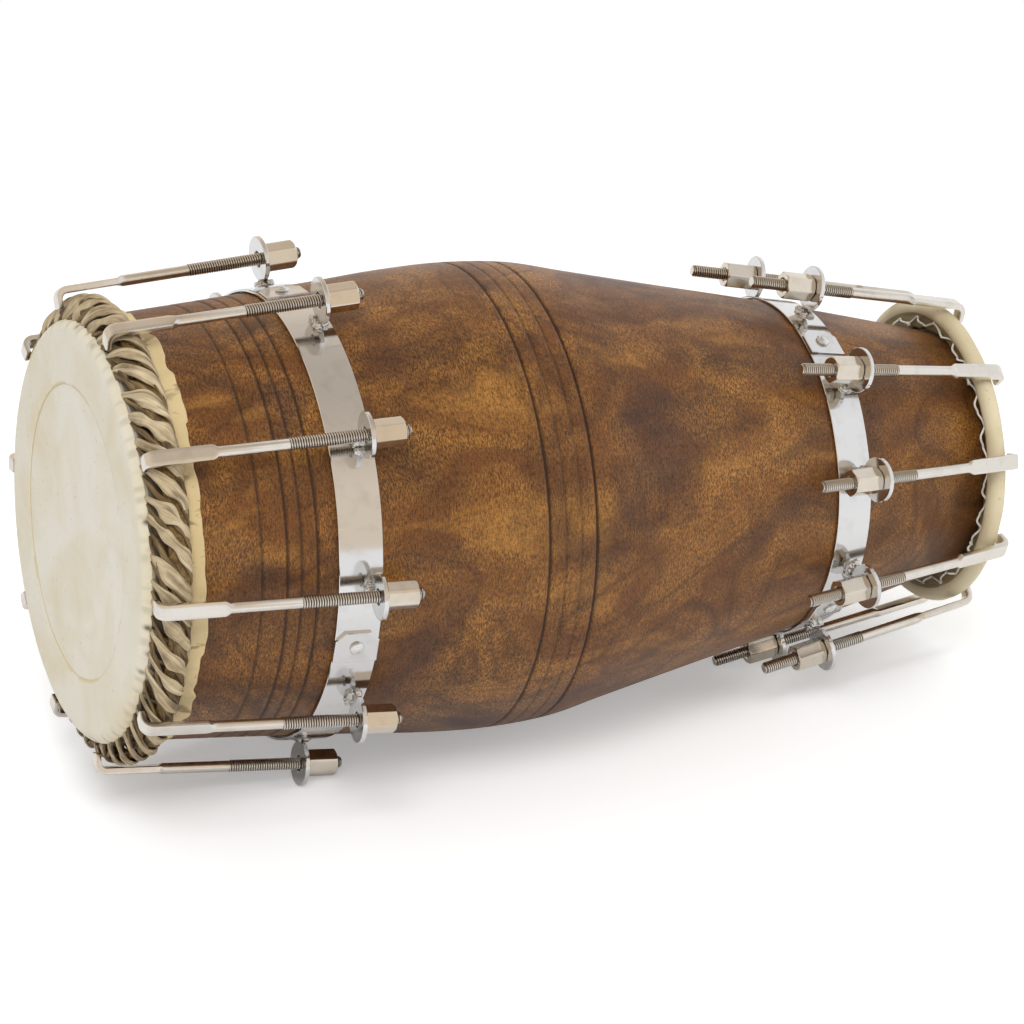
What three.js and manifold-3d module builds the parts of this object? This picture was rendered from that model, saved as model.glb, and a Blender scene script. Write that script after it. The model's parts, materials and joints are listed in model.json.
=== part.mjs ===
// A naal: a two-headed barrel drum, turned from one block of hardwood and tuned by hook bolts.
// Millimetres, +Z up. The drum lies on its side: it rests on two lugs of the bass band and one of the
// treble band. Inside the group named drum, +X runs along the shell's axis from the bass head to the
// treble head, and x = 0 is the plane of the bass hooks. Bolt angles are counted from the top (+Z)
// towards the front (-Y).
import * as THREE from 'three';
import { mergeVertices } from 'three/addons/utils/BufferGeometryUtils.js';
import Module from 'manifold-3d';

const wasm = await Module();
wasm.setup();

const DEG = Math.PI / 180;
const FULL_TURN = 2 * Math.PI;
const QUARTER_TURN = Math.PI / 2;

// Driving dimensions
const roundSegments = 32; // facets round the shell, and round everything that seats on it
const seatGap = 0.3; // left between pieces that touch

// Places along the shell are shares of its length, counted from the bass end.
const shell = {
  bassEndX: -3.1,
  length: 478.6,
  bassEndRadius: 103,
  bassNeckShare: 0.14,
  bassNeckRadius: 108.2,
  bassWaistShare: 0.28,
  bassWaistRadius: 113.9,
  bellyShare: 0.43,
  bellyRadius: 118.4,
  trebleShoulderShare: 0.545,
  trebleShoulderRadius: 110.6,
  trebleNeckShare: 0.767,
  trebleNeckRadius: 88.4,
  trebleEndRadius: 62,
  edgeRound: 7,
  wallAtBass: 11,
  wallAtBelly: 13,
  wallAtTreble: 9,
  grooveShares: [0.117, 0.144, 0.158, 0.175, 0.418, 0.436, 0.4535, 0.4715],
  plainShares: [0.3, 0.36, 0.6, 0.68, 0.78, 0.89],
  grooveWidth: 1.8,
  grooveDepth: 0.9,
};

const bassSkin = {
  thickness: 0.9, skirtLength: 28.6, cornerRound: 8, cornerInset: 5.6, cornerShares: [0.3, 0.55, 0.8],
};
const kinar = { width: 24.5, edgeInset: 0.9, thickness: 0.7, sink: 0.2 };
const masala = { radius: 36, thickness: 2.6, shoulderShare: 0.9 };
const hoop = { setBack: 13.6, halfWidth: 5.2, halfDepth: 2.4 };
const lacing = { halfWidth: 2.3, halfThickness: 1.1, standOff: 0.85, turns: 24, stepsPerTurn: 10, sides: 5 };

const trebleSkin = { thickness: 0.8, flangeSetBack: 3.9, mouthInset: 1.2 };
const ring = { setBack: 7.1, overhang: 14, sectionRadius: 3.6 };
// Angles round the ring's section, in degrees: the sewn skin leaves a slit behind the ring.
const wrap = {
  slitFrom: 202.5, slitTo: 247.5, flangeAngle: 240, faceAngle: -40, insideCorners: 8, outsideCorners: 6,
};
const syahi = {
  radius: 29, centreThickness: 1.9, edgeThickness: 0.7, edgeShare: 0.97, slopeShare: 0.6, flatShare: 0.4,
};

const bandThickness = 1.4;
const bandStandShare = 0.25; // of the shell's taper under a band that the band doesn't follow
const bassBand = { name: 'bass', fromEnd: 93.1, width: 22, rivetAngles: [-4.9, 102.5, 213.7] };
const trebleBand = { name: 'treble', fromEnd: 85.5, width: 20, rivetAngles: [23.2, 125.8, 235.3] };
const tab = { length: 17, chamfer: 4.5, thickness: 1.3, sinkShare: 0.8 };
const rivet = { headRadius: 3.4, headHeight: 1.7, shankRadius: 1.6 };

const lug = {
  radius: 11.5, thickness: 2.4, holeRadius: 4.1,
  weldLength: 6.5, weldHeight: 2.7, weldWidth: 3.4, weldDepth: 1,
};
const thread = { radius: 3.17, length: 60, endChamfer: 0.8 };
const shank = { radius: 2.75 };
const strap = { width: 7.8, thickness: 3.6, corner: 0.7, taper: 3, length: 34 };
const hook = { bendRadius: 4.4, thickness: 3.2, width: 7.4, reach: 9.2, tipShare: 0.8, bendSteps: 3 };
const nut = { acrossFlats: 12.5, length: 16.5, chamfer: 0.9 };

// One side's ten hook bolts. lugInset is from the band's edge away from the hooks, lugStand from the
// band's face to the washer's rim, hookGap and strapGap from the hoop or ring, as it is bound, to the
// hook's leg and to the strap.
const bassBolts = {
  name: 'bass',
  lugInset: 7,
  lugStand: 1.86,
  hookGap: 0.65,
  strapGap: 1,
  tipStandOut: 21.5,
  phase: 14.35,
  wander: [-0.2, 0.9, 0, -2, 4.1, 3.2, -0.5, -0.7, -0.9, -3],
};
const trebleBolts = {
  name: 'treble',
  lugInset: 16,
  lugStand: 2.91,
  hookGap: 0.9,
  strapGap: 2.8,
  tipStandOut: 36.5,
  phase: 1.35,
  wander: [3.1, 3.2, 0, -2, -1.2, -5.5, 0, 0, 0, 1.4],
};
const boltsPerSide = 10;

// Finishes
const finish = (color, roughness, metalness = 0) => (
  new THREE.MeshStandardMaterial({ color, roughness, metalness })
);
const wood = finish(0x7a4e2a, 0.5);
const rawhide = finish(0xe3d8bf, 0.65);
const thongHide = finish(0xb7a582, 0.8);
const cane = finish(0x8c7448, 0.7);
const blackPaste = finish(0x1b1917, 0.85);
const oilPaste = finish(0x2c211a, 0.9);
const nickel = finish(0xc9bfae, 0.28, 1);
const zinc = finish(0xc8c9cc, 0.25, 1);

// Geometry helpers

// Turns every face of a closed geometry outwards, by the sign of the volume that it encloses.
function facesOut(geometry) {
  const at = geometry.attributes.position;
  const corners = geometry.index.array;
  const [a, b, c] = [new THREE.Vector3(), new THREE.Vector3(), new THREE.Vector3()];
  let volume = 0;
  for (let i = 0; i < corners.length; i += 3) {
    a.fromBufferAttribute(at, corners[i]);
    b.fromBufferAttribute(at, corners[i + 1]);
    c.fromBufferAttribute(at, corners[i + 2]);
    volume += a.dot(b.cross(c));
  }
  if (volume < 0) {
    for (let i = 0; i < corners.length; i += 3) {
      [corners[i + 1], corners[i + 2]] = [corners[i + 2], corners[i + 1]];
    }
  }
  return geometry;
}

// Revolves a profile of [x, radius] points round the X axis.
function turned(profile, segments = roundSegments) {
  const lathe = new THREE.LatheGeometry(profile.map(([x, r]) => new THREE.Vector2(r, x)), segments);
  return facesOut(lathe.rotateZ(-QUARTER_TURN));
}

// Closes a profile of [x, radius] points on itself, so that it revolves to a ring or a tube.
const closed = (profile) => [...profile, profile[0]];

// Joins equal rings of points, in order, to one closed skin: capped at both ends, or looped back to the
// first ring.
function lofted(rings, looped = false) {
  const count = rings[0].length;
  const places = rings.flat().flatMap((p) => [p.x, p.y, p.z]);
  const faces = [];
  const last = looped ? rings.length : rings.length - 1;
  for (let i = 0; i < last; i++) {
    const here = i * count;
    const next = ((i + 1) % rings.length) * count;
    for (let j = 0; j < count; j++) {
      const k = (j + 1) % count;
      faces.push(here + j, here + k, next + j, here + k, next + k, next + j);
    }
  }
  if (!looped) {
    const end = (rings.length - 1) * count;
    for (let j = 1; j < count - 1; j++) {
      faces.push(0, j + 1, j, end, end + j, end + j + 1);
    }
  }
  const geometry = new THREE.BufferGeometry();
  geometry.setAttribute('position', new THREE.Float32BufferAttribute(places, 3));
  geometry.setIndex(faces);
  return facesOut(geometry);
}

function solidOf(geometry) {
  const bare = new THREE.BufferGeometry();
  const source = geometry.index ? geometry.toNonIndexed() : geometry;
  bare.setAttribute('position', source.getAttribute('position'));
  const merged = facesOut(mergeVertices(bare, 1e-3));
  return new wasm.Manifold(new wasm.Mesh({
    numProp: 3,
    vertProperties: merged.attributes.position.array,
    triVerts: new Uint32Array(merged.index.array),
  }));
}

function geometryOf(solid) {
  const mesh = solid.getMesh();
  const geometry = new THREE.BufferGeometry();
  geometry.setAttribute('position', new THREE.Float32BufferAttribute(mesh.vertProperties, 3));
  geometry.setIndex(new THREE.BufferAttribute(mesh.triVerts, 1));
  return geometry;
}

function piece(name, geometry, material) {
  const mesh = new THREE.Mesh(geometry, material);
  mesh.name = name;
  return mesh;
}

// Shell

const trebleEndX = shell.bassEndX + shell.length;
const placeAt = (share) => shell.bassEndX + shell.length * share;

// The outside of the shell in plan: a smooth curve through its driving radii.
const shellCurve = new THREE.SplineCurve([
  new THREE.Vector2(shell.bassEndX, shell.bassEndRadius),
  new THREE.Vector2(placeAt(shell.bassNeckShare), shell.bassNeckRadius),
  new THREE.Vector2(placeAt(shell.bassWaistShare), shell.bassWaistRadius),
  new THREE.Vector2(placeAt(shell.bellyShare), shell.bellyRadius),
  new THREE.Vector2(placeAt(shell.trebleShoulderShare), shell.trebleShoulderRadius),
  new THREE.Vector2(placeAt(shell.trebleNeckShare), shell.trebleNeckRadius),
  new THREE.Vector2(trebleEndX, shell.trebleEndRadius),
]);
const curveSteps = 400;
const curveSamples = shellCurve.getPoints(curveSteps);

function shellRadius(x) {
  const i = Math.min(Math.max(curveSamples.findIndex((p) => p.x > x), 1), curveSamples.length - 1);
  const [a, b] = [curveSamples[i - 1], curveSamples[i]];
  return THREE.MathUtils.mapLinear(x, a.x, b.x, a.y, b.y);
}

function shellProfile() {
  const { bassEndX, edgeRound } = shell;
  const groove = (x) => [
    [x - shell.grooveWidth / 2, shellRadius(x - shell.grooveWidth / 2)],
    [x, shellRadius(x) - shell.grooveDepth],
    [x + shell.grooveWidth / 2, shellRadius(x + shell.grooveWidth / 2)],
  ];
  const outside = [
    ...shell.grooveShares.flatMap((share) => groove(placeAt(share))),
    ...shell.plainShares.map((share) => [placeAt(share), shellRadius(placeAt(share))]),
  ].sort((a, b) => a[0] - b[0]);
  const edgeSteps = 3;
  const bassEdge = Array.from({ length: edgeSteps + 1 }, (_, i) => {
    const turn = i / edgeSteps * QUARTER_TURN;
    return [
      bassEndX + edgeRound * (1 - Math.cos(turn)),
      shellRadius(bassEndX + edgeRound) - edgeRound * (1 - Math.sin(turn)),
    ];
  });
  const softEdge = edgeRound / 2;
  return closed([
    [bassEndX, shell.bassEndRadius - shell.wallAtBass],
    ...bassEdge,
    ...outside,
    [trebleEndX - softEdge, shellRadius(trebleEndX - softEdge)],
    [trebleEndX, shell.trebleEndRadius - softEdge],
    [trebleEndX, shell.trebleEndRadius - shell.wallAtTreble],
    [placeAt(shell.trebleShoulderShare), shell.trebleShoulderRadius - shell.wallAtBelly],
    [placeAt(shell.bellyShare), shell.bellyRadius - shell.wallAtBelly],
    [placeAt(shell.bassWaistShare), shell.bassWaistRadius - shell.wallAtBelly],
  ]);
}

// Bass head

const bassFaceInsideX = shell.bassEndX - seatGap;
const bassFaceX = bassFaceInsideX - bassSkin.thickness;
const bassFlatRadius = shell.bassEndRadius - bassSkin.cornerInset;
const kinarOuterRadius = bassFlatRadius - kinar.edgeInset;
const kinarInnerRadius = kinarOuterRadius - kinar.width;

// The skin's own radius where it lies on the side of the shell.
const bassSkinRadius = (x) => shellRadius(x) + seatGap + bassSkin.thickness;

// The skin lies flat over the mouth, turns down over the edge and ends in a skirt on the side of the
// shell. It is pressed a little thinner under the layer that is glued on its rim.
function bassSkinProfile() {
  const { thickness, cornerRound } = bassSkin;
  const skirtEndX = shell.bassEndX + bassSkin.skirtLength;
  const sideX = bassFaceX + cornerRound;
  const corner = (inset) => bassSkin.cornerShares.map((share) => [
    sideX - (cornerRound - inset) * Math.cos(share * QUARTER_TURN),
    THREE.MathUtils.lerp(bassFlatRadius, bassSkinRadius(sideX) - inset, Math.sin(share * QUARTER_TURN)),
  ]);
  return [
    [bassFaceX, 0],
    [bassFaceX, kinarInnerRadius - seatGap],
    [bassFaceX + kinar.sink, kinarInnerRadius],
    [bassFaceX + kinar.sink, bassFlatRadius],
    ...corner(0),
    [sideX, bassSkinRadius(sideX)],
    [skirtEndX, bassSkinRadius(skirtEndX)],
    [skirtEndX, bassSkinRadius(skirtEndX) - thickness],
    [sideX, bassSkinRadius(sideX) - thickness],
    ...corner(thickness).reverse(),
    [bassFaceInsideX, bassFlatRadius],
    [bassFaceInsideX, 0],
  ];
}

// The hoop stands clear of the skirt by one thickness of the thong that is wound round it.
const thongCover = lacing.standOff + 2 * lacing.halfThickness;
const hoopX = shell.bassEndX + hoop.setBack;
const hoopRadius = bassSkinRadius(hoopX + hoop.halfWidth) + thongCover + hoop.halfDepth;

function hoopProfile() {
  const corners = 8;
  return closed(Array.from({ length: corners }, (_, i) => {
    const a = (i + 0.5) / corners * FULL_TURN;
    return [hoopX + hoop.halfWidth * Math.cos(a), hoopRadius + hoop.halfDepth * Math.sin(a)];
  }));
}

// Point of the thong's centreline: it winds round the hoop's section while it goes round the drum.
function thongPlace(turn) {
  const round = turn / lacing.turns * FULL_TURN;
  const wind = turn * FULL_TURN;
  const lift = lacing.standOff + lacing.halfThickness;
  const radius = hoopRadius + (hoop.halfDepth + lift) * Math.cos(wind);
  return new THREE.Vector3(
    hoopX + (hoop.halfWidth + lift) * Math.sin(wind),
    -radius * Math.sin(round),
    radius * Math.cos(round),
  );
}

// The lacing is one unbroken thong, wound round the hoop and joined to itself where it ends.
function lacingGeometry() {
  const steps = lacing.turns * lacing.stepsPerTurn;
  const nudgeShare = 0.25;
  const rings = Array.from({ length: steps }, (_, i) => {
    const turn = i / lacing.stepsPerTurn;
    const nudge = nudgeShare / lacing.stepsPerTurn;
    const centre = thongPlace(turn);
    const along = thongPlace(turn + nudge).sub(thongPlace(turn - nudge)).normalize();
    const round = turn / lacing.turns * FULL_TURN;
    const core = new THREE.Vector3(hoopX, -hoopRadius * Math.sin(round), hoopRadius * Math.cos(round));
    const out = centre.clone().sub(core).normalize();
    const side = along.clone().cross(out).normalize();
    const up = side.clone().cross(along).normalize();
    return Array.from({ length: lacing.sides }, (_, j) => {
      const a = j / lacing.sides * FULL_TURN;
      return centre.clone()
        .addScaledVector(side, lacing.halfWidth * Math.cos(a))
        .addScaledVector(up, lacing.halfThickness * Math.sin(a));
    });
  });
  return lofted(rings, true);
}

// Least distance between neighbouring turns of the thong, less its own thickness.
function lacingGap() {
  const steps = lacing.turns * lacing.stepsPerTurn;
  const places = Array.from({ length: steps }, (_, i) => thongPlace(i / lacing.stepsPerTurn));
  let least = Infinity;
  for (let i = 0; i < lacing.stepsPerTurn; i++) {
    for (let j = i + lacing.stepsPerTurn / 2; j < i + 2 * lacing.stepsPerTurn; j++) {
      least = Math.min(least, places[i].distanceTo(places[j]));
    }
  }
  return least - 2 * lacing.halfWidth;
}

function bassHead() {
  const kinarX = bassFaceX + kinar.sink - seatGap;
  const masalaX = bassFaceInsideX + seatGap;
  console.log(`least gap between turns of the lacing: ${lacingGap().toFixed(2)} mm`);
  return [
    piece('bass_head_skin', turned(bassSkinProfile()), rawhide),
    piece('bass_kinar_layer', turned(closed([
      [kinarX, kinarInnerRadius],
      [kinarX - kinar.thickness, kinarInnerRadius],
      [kinarX - kinar.thickness, kinarOuterRadius - kinar.thickness],
      [kinarX, kinarOuterRadius],
    ])), rawhide),
    piece('bass_inner_paste', turned([
      [masalaX, 0],
      [masalaX, masala.radius],
      [masalaX + masala.thickness / 2, masala.radius * masala.shoulderShare],
      [masalaX + masala.thickness, 0],
    ]), oilPaste),
    piece('bass_hoop', turned(hoopProfile()), cane),
    piece('bass_lacing', lacingGeometry(), thongHide),
  ];
}

// Treble head

const trebleFaceInsideX = trebleEndX + seatGap;
const trebleFaceX = trebleFaceInsideX + trebleSkin.thickness;
const ringX = trebleEndX - ring.setBack;
const ringRadius = shell.trebleEndRadius + ring.overhang;
const wrapInside = ring.sectionRadius + seatGap;
const wrapOutside = wrapInside + trebleSkin.thickness;

// A point round the ring's section, at a radius from its middle and an angle in degrees.
const aroundRing = (radius, angle) => [
  ringX + radius * Math.cos(angle * DEG),
  ringRadius + radius * Math.sin(angle * DEG),
];

// Points round the ring's section at even steps from one angle to another.
const arcRoundRing = (radius, from, to, corners) => Array.from({ length: corners }, (_, i) => (
  aroundRing(radius, THREE.MathUtils.lerp(from, to, i / (corners - 1)))
));

// The skin lies over the mouth, slopes back to the iron ring, wraps it and returns behind it as a sewn
// flange. The wrap stays open by a slit behind the ring.
function trebleSkinProfile() {
  const { thickness, flangeSetBack, mouthInset } = trebleSkin;
  const footX = trebleEndX - flangeSetBack;
  const footRadius = shellRadius(footX) + seatGap;
  const mouthRadius = shell.trebleEndRadius - mouthInset;
  return [
    [trebleFaceInsideX, 0],
    [trebleFaceInsideX, mouthRadius],
    [footX + thickness, footRadius],
    [footX, footRadius],
    aroundRing(wrapOutside, wrap.flangeAngle),
    ...arcRoundRing(wrapInside, wrap.slitTo, wrap.slitFrom + 360, wrap.insideCorners),
    ...arcRoundRing(wrapOutside, wrap.slitFrom, wrap.faceAngle, wrap.outsideCorners),
    [trebleFaceX, mouthRadius + thickness],
    [trebleFaceX, 0],
  ];
}

function ringProfile() {
  const corners = 8;
  return closed(Array.from({ length: corners }, (_, i) => (
    aroundRing(ring.sectionRadius, (i + 0.5) / corners * 360)
  )));
}

// The tuning paste rises in layers to a small flat, which is rubbed smooth.
function syahiProfile() {
  const x = trebleFaceX + seatGap;
  const { radius, edgeThickness, centreThickness } = syahi;
  return [
    [x, 0],
    [x, radius],
    [x + edgeThickness, radius * syahi.edgeShare],
    [x + (edgeThickness + centreThickness) / 2, radius * syahi.slopeShare],
    [x + centreThickness, radius * syahi.flatShare],
    [x + centreThickness, 0],
  ];
}

function trebleHead() {
  return [
    piece('treble_head_skin', turned(trebleSkinProfile()), rawhide),
    piece('treble_iron_ring', turned(ringProfile()), zinc),
    piece('treble_syahi', turned(syahiProfile()), blackPaste),
  ];
}

// Hook bolts and nuts

// Points of a rod's section at a distance along the rod; shapes are eight-sided so that they loft into
// each other.
const rodSides = 8;
function roundSection(z, radius) {
  return Array.from({ length: rodSides }, (_, i) => {
    const a = (i + 0.5) / rodSides * FULL_TURN;
    return new THREE.Vector3(radius * Math.cos(a), radius * Math.sin(a), z);
  });
}

// A flat section with small corners: x is across the strap, y is the strap's thickness.
function flatSection(width, thickness, corner, place) {
  const [w, t] = [width / 2, thickness / 2];
  return [
    [w, t - corner], [w - corner, t], [corner - w, t], [-w, t - corner],
    [-w, corner - t], [corner - w, -t], [w - corner, -t], [w, corner - t],
  ].map(([x, y]) => place(x, y));
}

// A hook bolt along +Z from its tip to its hook, which turns towards -Y. z = 0 is the middle of the lug.
// The bend is a right angle less half of the rod's flare.
function hookBoltGeometry(rods) {
  const rodEnd = rodLength(rods);
  const bendStart = rodEnd - hook.bendRadius;
  const strapFrom = rodEnd - strap.length;
  const threadTo = thread.length - rods.tipStandOut;
  const endAngle = QUARTER_TURN - flareOf(rods) / 2;
  const { corner } = strap;
  const bend = Array.from({ length: hook.bendSteps }, (_, i) => {
    const share = (i + 1) / hook.bendSteps;
    const a = share * endAngle;
    const thickness = THREE.MathUtils.lerp(strap.thickness, hook.thickness, share);
    const width = THREE.MathUtils.lerp(strap.width, hook.width, share);
    return flatSection(width, thickness, corner, (x, y) => new THREE.Vector3(
      x,
      (hook.bendRadius + y) * Math.cos(a) - hook.bendRadius,
      bendStart + (hook.bendRadius + y) * Math.sin(a),
    ));
  });
  const leg = hook.reach - hook.bendRadius;
  const tip = flatSection(hook.width, hook.thickness * hook.tipShare, corner, (x, y) => new THREE.Vector3(
    x,
    (hook.bendRadius + y) * Math.cos(endAngle) - hook.bendRadius - leg * Math.sin(endAngle),
    bendStart + (hook.bendRadius + y) * Math.sin(endAngle) + leg * Math.cos(endAngle),
  ));
  const straight = (z) => (
    flatSection(strap.width, strap.thickness, corner, (x, y) => new THREE.Vector3(x, y, z))
  );
  return lofted([
    roundSection(-rods.tipStandOut, thread.radius - thread.endChamfer),
    roundSection(-rods.tipStandOut + thread.endChamfer, thread.radius),
    roundSection(threadTo, thread.radius),
    roundSection(threadTo + thread.radius - shank.radius, shank.radius),
    roundSection(strapFrom, shank.radius),
    straight(strapFrom + strap.taper),
    straight(bendStart),
    ...bend,
    tip,
  ]);
}

// A long hexagon nut on +Z, seated at z = 0 and running to -Z, bored right through and chamfered at its
// free end.
function nutGeometry() {
  const corners = 6;
  const cornerAt = (radius, z) => Array.from({ length: corners }, (_, i) => {
    const a = i / corners * FULL_TURN;
    return new THREE.Vector3(radius * Math.cos(a), radius * Math.sin(a), z);
  });
  const flatShare = Math.cos(Math.PI / corners);
  const cornerRadius = nut.acrossFlats / 2 / flatShare;
  const bore = (thread.radius + seatGap) / flatShare;
  return lofted([
    cornerAt(cornerRadius, 0),
    cornerAt(cornerRadius, nut.chamfer - nut.length),
    cornerAt(cornerRadius - nut.chamfer, -nut.length),
    cornerAt(bore, -nut.length),
    cornerAt(bore, 0),
  ], true);
}

// The path of one side's rods in plan: from the washers, over the crown of the bound hoop or ring, to
// the hooks.
function rodPath(bolts, { lugX, bandFace, crownX, crownRadius, hookX }) {
  const lugRadius = bandFace + bolts.lugStand + lug.radius;
  const strapRadius = crownRadius + bolts.strapGap + strap.thickness / 2;
  const hookRadius = THREE.MathUtils.mapLinear(hookX, lugX, crownX, lugRadius, strapRadius);
  return { ...bolts, lugX, lugRadius, hookX, hookRadius, bandFace };
}

// A frame at one lug: +Z along the rod towards its hook, +Y away from the drum's axis, +X across the rod.
function boltFrame(rods, index) {
  const angle = (rods.phase + index * 360 / boltsPerSide + rods.wander[index]) * DEG;
  const outward = new THREE.Vector3(0, -Math.sin(angle), Math.cos(angle));
  const lugPlace = outward.clone().multiplyScalar(rods.lugRadius).setX(rods.lugX);
  const hookPlace = outward.clone().multiplyScalar(rods.hookRadius).setX(rods.hookX);
  const along = hookPlace.clone().sub(lugPlace).normalize();
  const up = outward.clone().addScaledVector(along, -outward.dot(along)).normalize();
  const across = up.clone().cross(along);
  return new THREE.Matrix4().makeBasis(across, up, along).setPosition(lugPlace);
}

function rodLength(rods) {
  return Math.hypot(rods.lugX - rods.hookX, rods.lugRadius - rods.hookRadius) + hook.thickness / 2;
}

// The rods' flare, away from the drum's axis.
function flareOf(rods) {
  return Math.atan2(rods.lugRadius - rods.hookRadius, Math.abs(rods.lugX - rods.hookX));
}

function boltSet(rods) {
  const hookBolt = hookBoltGeometry(rods);
  const hexagonNut = nutGeometry().translate(0, 0, -lug.thickness / 2 - seatGap);
  return Array.from({ length: boltsPerSide }, (_, i) => {
    const frame = boltFrame(rods, i);
    const number = String(i + 1).padStart(2, '0');
    return [
      piece(`${rods.name}_hook_bolt_${number}`, hookBolt, nickel),
      piece(`${rods.name}_nut_${number}`, hexagonNut, nickel),
    ].map((mesh) => {
      mesh.applyMatrix4(frame);
      return mesh;
    });
  }).flat();
}

// Bands with their welded lugs

const bassStrip = {
  ...bassBand,
  fromX: shell.bassEndX + bassBand.fromEnd,
  toX: shell.bassEndX + bassBand.fromEnd + bassBand.width,
};
const trebleStrip = {
  ...trebleBand,
  fromX: trebleEndX - trebleBand.fromEnd - trebleBand.width,
  toX: trebleEndX - trebleBand.fromEnd,
};

// The strip's inner radius: it seats on the shell at its wider edge and stands a little clear at the other.
function stripRadius(strip, x) {
  const widest = Math.max(shellRadius(strip.fromX), shellRadius(strip.toX));
  return THREE.MathUtils.lerp(shellRadius(x), widest, bandStandShare) + seatGap;
}

const stripFace = (strip, x) => stripRadius(strip, x) + bandThickness;

const bassLugX = bassStrip.toX - bassBolts.lugInset;
const bassRods = rodPath(bassBolts, {
  lugX: bassLugX,
  bandFace: stripFace(bassStrip, bassLugX),
  crownX: hoopX,
  crownRadius: hoopRadius + hoop.halfDepth + thongCover,
  hookX: hoopX - hoop.halfWidth - thongCover - bassBolts.hookGap - hook.thickness / 2,
});
const trebleLugX = trebleStrip.fromX + trebleBolts.lugInset;
const trebleRods = rodPath(trebleBolts, {
  lugX: trebleLugX,
  bandFace: stripFace(trebleStrip, trebleLugX),
  crownX: ringX,
  crownRadius: ringRadius + wrapOutside,
  hookX: ringX + wrapOutside + trebleBolts.hookGap + hook.thickness / 2,
});

// A disc in the plane across +Z, with its middle at z = 0 and an optional hole.
function disc(radius, thickness, segments, holeRadius = 0) {
  const shape = new THREE.Shape().absarc(0, 0, radius, 0, FULL_TURN);
  if (holeRadius) {
    shape.holes.push(new THREE.Path().absarc(0, 0, holeRadius, 0, FULL_TURN, true));
  }
  return new THREE.ExtrudeGeometry(shape, { depth: thickness, bevelEnabled: false, curveSegments: segments })
    .translate(0, 0, -thickness / 2);
}

// The frame of a rivet: +Z outwards, +X along the drum, at the middle of the strip.
function rivetFrame(strip, index) {
  const angle = strip.rivetAngles[index] * DEG;
  const x = (strip.fromX + strip.toX) / 2;
  const outward = new THREE.Vector3(0, -Math.sin(angle), Math.cos(angle));
  const drumwards = new THREE.Vector3(1, 0, 0);
  const flatRadius = stripFace(strip, x) * Math.cos(Math.PI / roundSegments);
  const place = outward.clone().multiplyScalar(flatRadius).setX(x);
  const lean = new THREE.Matrix4().makeRotationY(Math.atan2(
    stripRadius(strip, strip.fromX) - stripRadius(strip, strip.toX),
    strip.width,
  ));
  const level = new THREE.Matrix4().makeBasis(drumwards, outward.clone().cross(drumwards), outward);
  return level.setPosition(place).multiply(lean);
}

// The lapped end of the strip: a plate with two chamfered corners, as wide as the strip.
function tabGeometry(width) {
  const [w, l, c] = [width / 2, tab.length / 2, tab.chamfer];
  const outline = new THREE.Shape([
    [-w, -l], [w, -l], [w, l - c], [w - c, l], [c - w, l], [-w, l - c],
  ].map(([x, y]) => new THREE.Vector2(x, y)));
  const sunk = bandThickness * tab.sinkShare;
  return new THREE.ExtrudeGeometry(outline, { depth: tab.thickness + sunk, bevelEnabled: false })
    .translate(0, 0, -sunk);
}

function bandWithLugs(strip, rods) {
  const { fromX, toX } = strip;
  let solid = solidOf(turned(closed([
    [fromX, stripRadius(strip, fromX)],
    [fromX, stripFace(strip, fromX)],
    [toX, stripFace(strip, toX)],
    [toX, stripRadius(strip, toX)],
  ])));
  const washerFacets = 7;
  const washer = disc(lug.radius, lug.thickness, washerFacets, lug.holeRadius);
  // The weld bead fills the gap from the washer's rim down into the strip's wall, but not through it.
  const weldDrop = (rods.lugRadius - rods.bandFace) / Math.cos(flareOf(rods));
  const weld = new THREE.SphereGeometry(1, 6, 4)
    .scale(lug.weldLength, lug.weldHeight, lug.weldWidth)
    .translate(0, lug.weldHeight - lug.weldDepth - weldDrop, 0);
  for (let i = 0; i < boltsPerSide; i++) {
    const frame = boltFrame(rods, i);
    solid = solid
      .add(solidOf(washer.clone().applyMatrix4(frame)))
      .add(solidOf(weld.clone().applyMatrix4(frame)));
  }
  const plate = tabGeometry(strip.width);
  const drillFacets = 4;
  const drillLength = 2 * (tab.thickness + 2 * bandThickness);
  const drill = disc(rivet.shankRadius + seatGap, drillLength, drillFacets);
  for (let i = 0; i < strip.rivetAngles.length; i++) {
    const frame = rivetFrame(strip, i);
    solid = solid
      .add(solidOf(plate.clone().applyMatrix4(frame)))
      .subtract(solidOf(drill.clone().applyMatrix4(frame)));
  }
  return piece(`${strip.name}_band`, geometryOf(solid), zinc);
}

// A dome on a short shank that fills the drilled hole.
function rivetGeometry() {
  const { headRadius, headHeight, shankRadius } = rivet;
  const seat = tab.thickness + seatGap;
  const domeShares = [0, 0.39, 0.72];
  const facets = 10;
  const dome = domeShares.map((share) => [
    seat + headHeight * Math.sin(share * QUARTER_TURN), headRadius * Math.cos(share * QUARTER_TURN),
  ]);
  const profile = [
    [-bandThickness, 0], [-bandThickness, shankRadius], [seat, shankRadius], ...dome, [seat + headHeight, 0],
  ];
  return turned(profile, facets).rotateY(-QUARTER_TURN);
}

function rivets(strip) {
  return strip.rivetAngles.map((_, i) => {
    const mesh = piece(`${strip.name}_band_rivet_${i + 1}`, rivetGeometry(), zinc);
    mesh.applyMatrix4(rivetFrame(strip, i));
    return mesh;
  });
}

// Assembly

const drum = new THREE.Group();
drum.name = 'drum';
drum.add(
  piece('shell', turned(shellProfile()), wood),
  ...bassHead(),
  ...trebleHead(),
  bandWithLugs(bassStrip, bassRods),
  bandWithLugs(trebleStrip, trebleRods),
  ...rivets(bassStrip),
  ...rivets(trebleStrip),
  ...boltSet(bassRods),
  ...boltSet(trebleRods),
);

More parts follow.
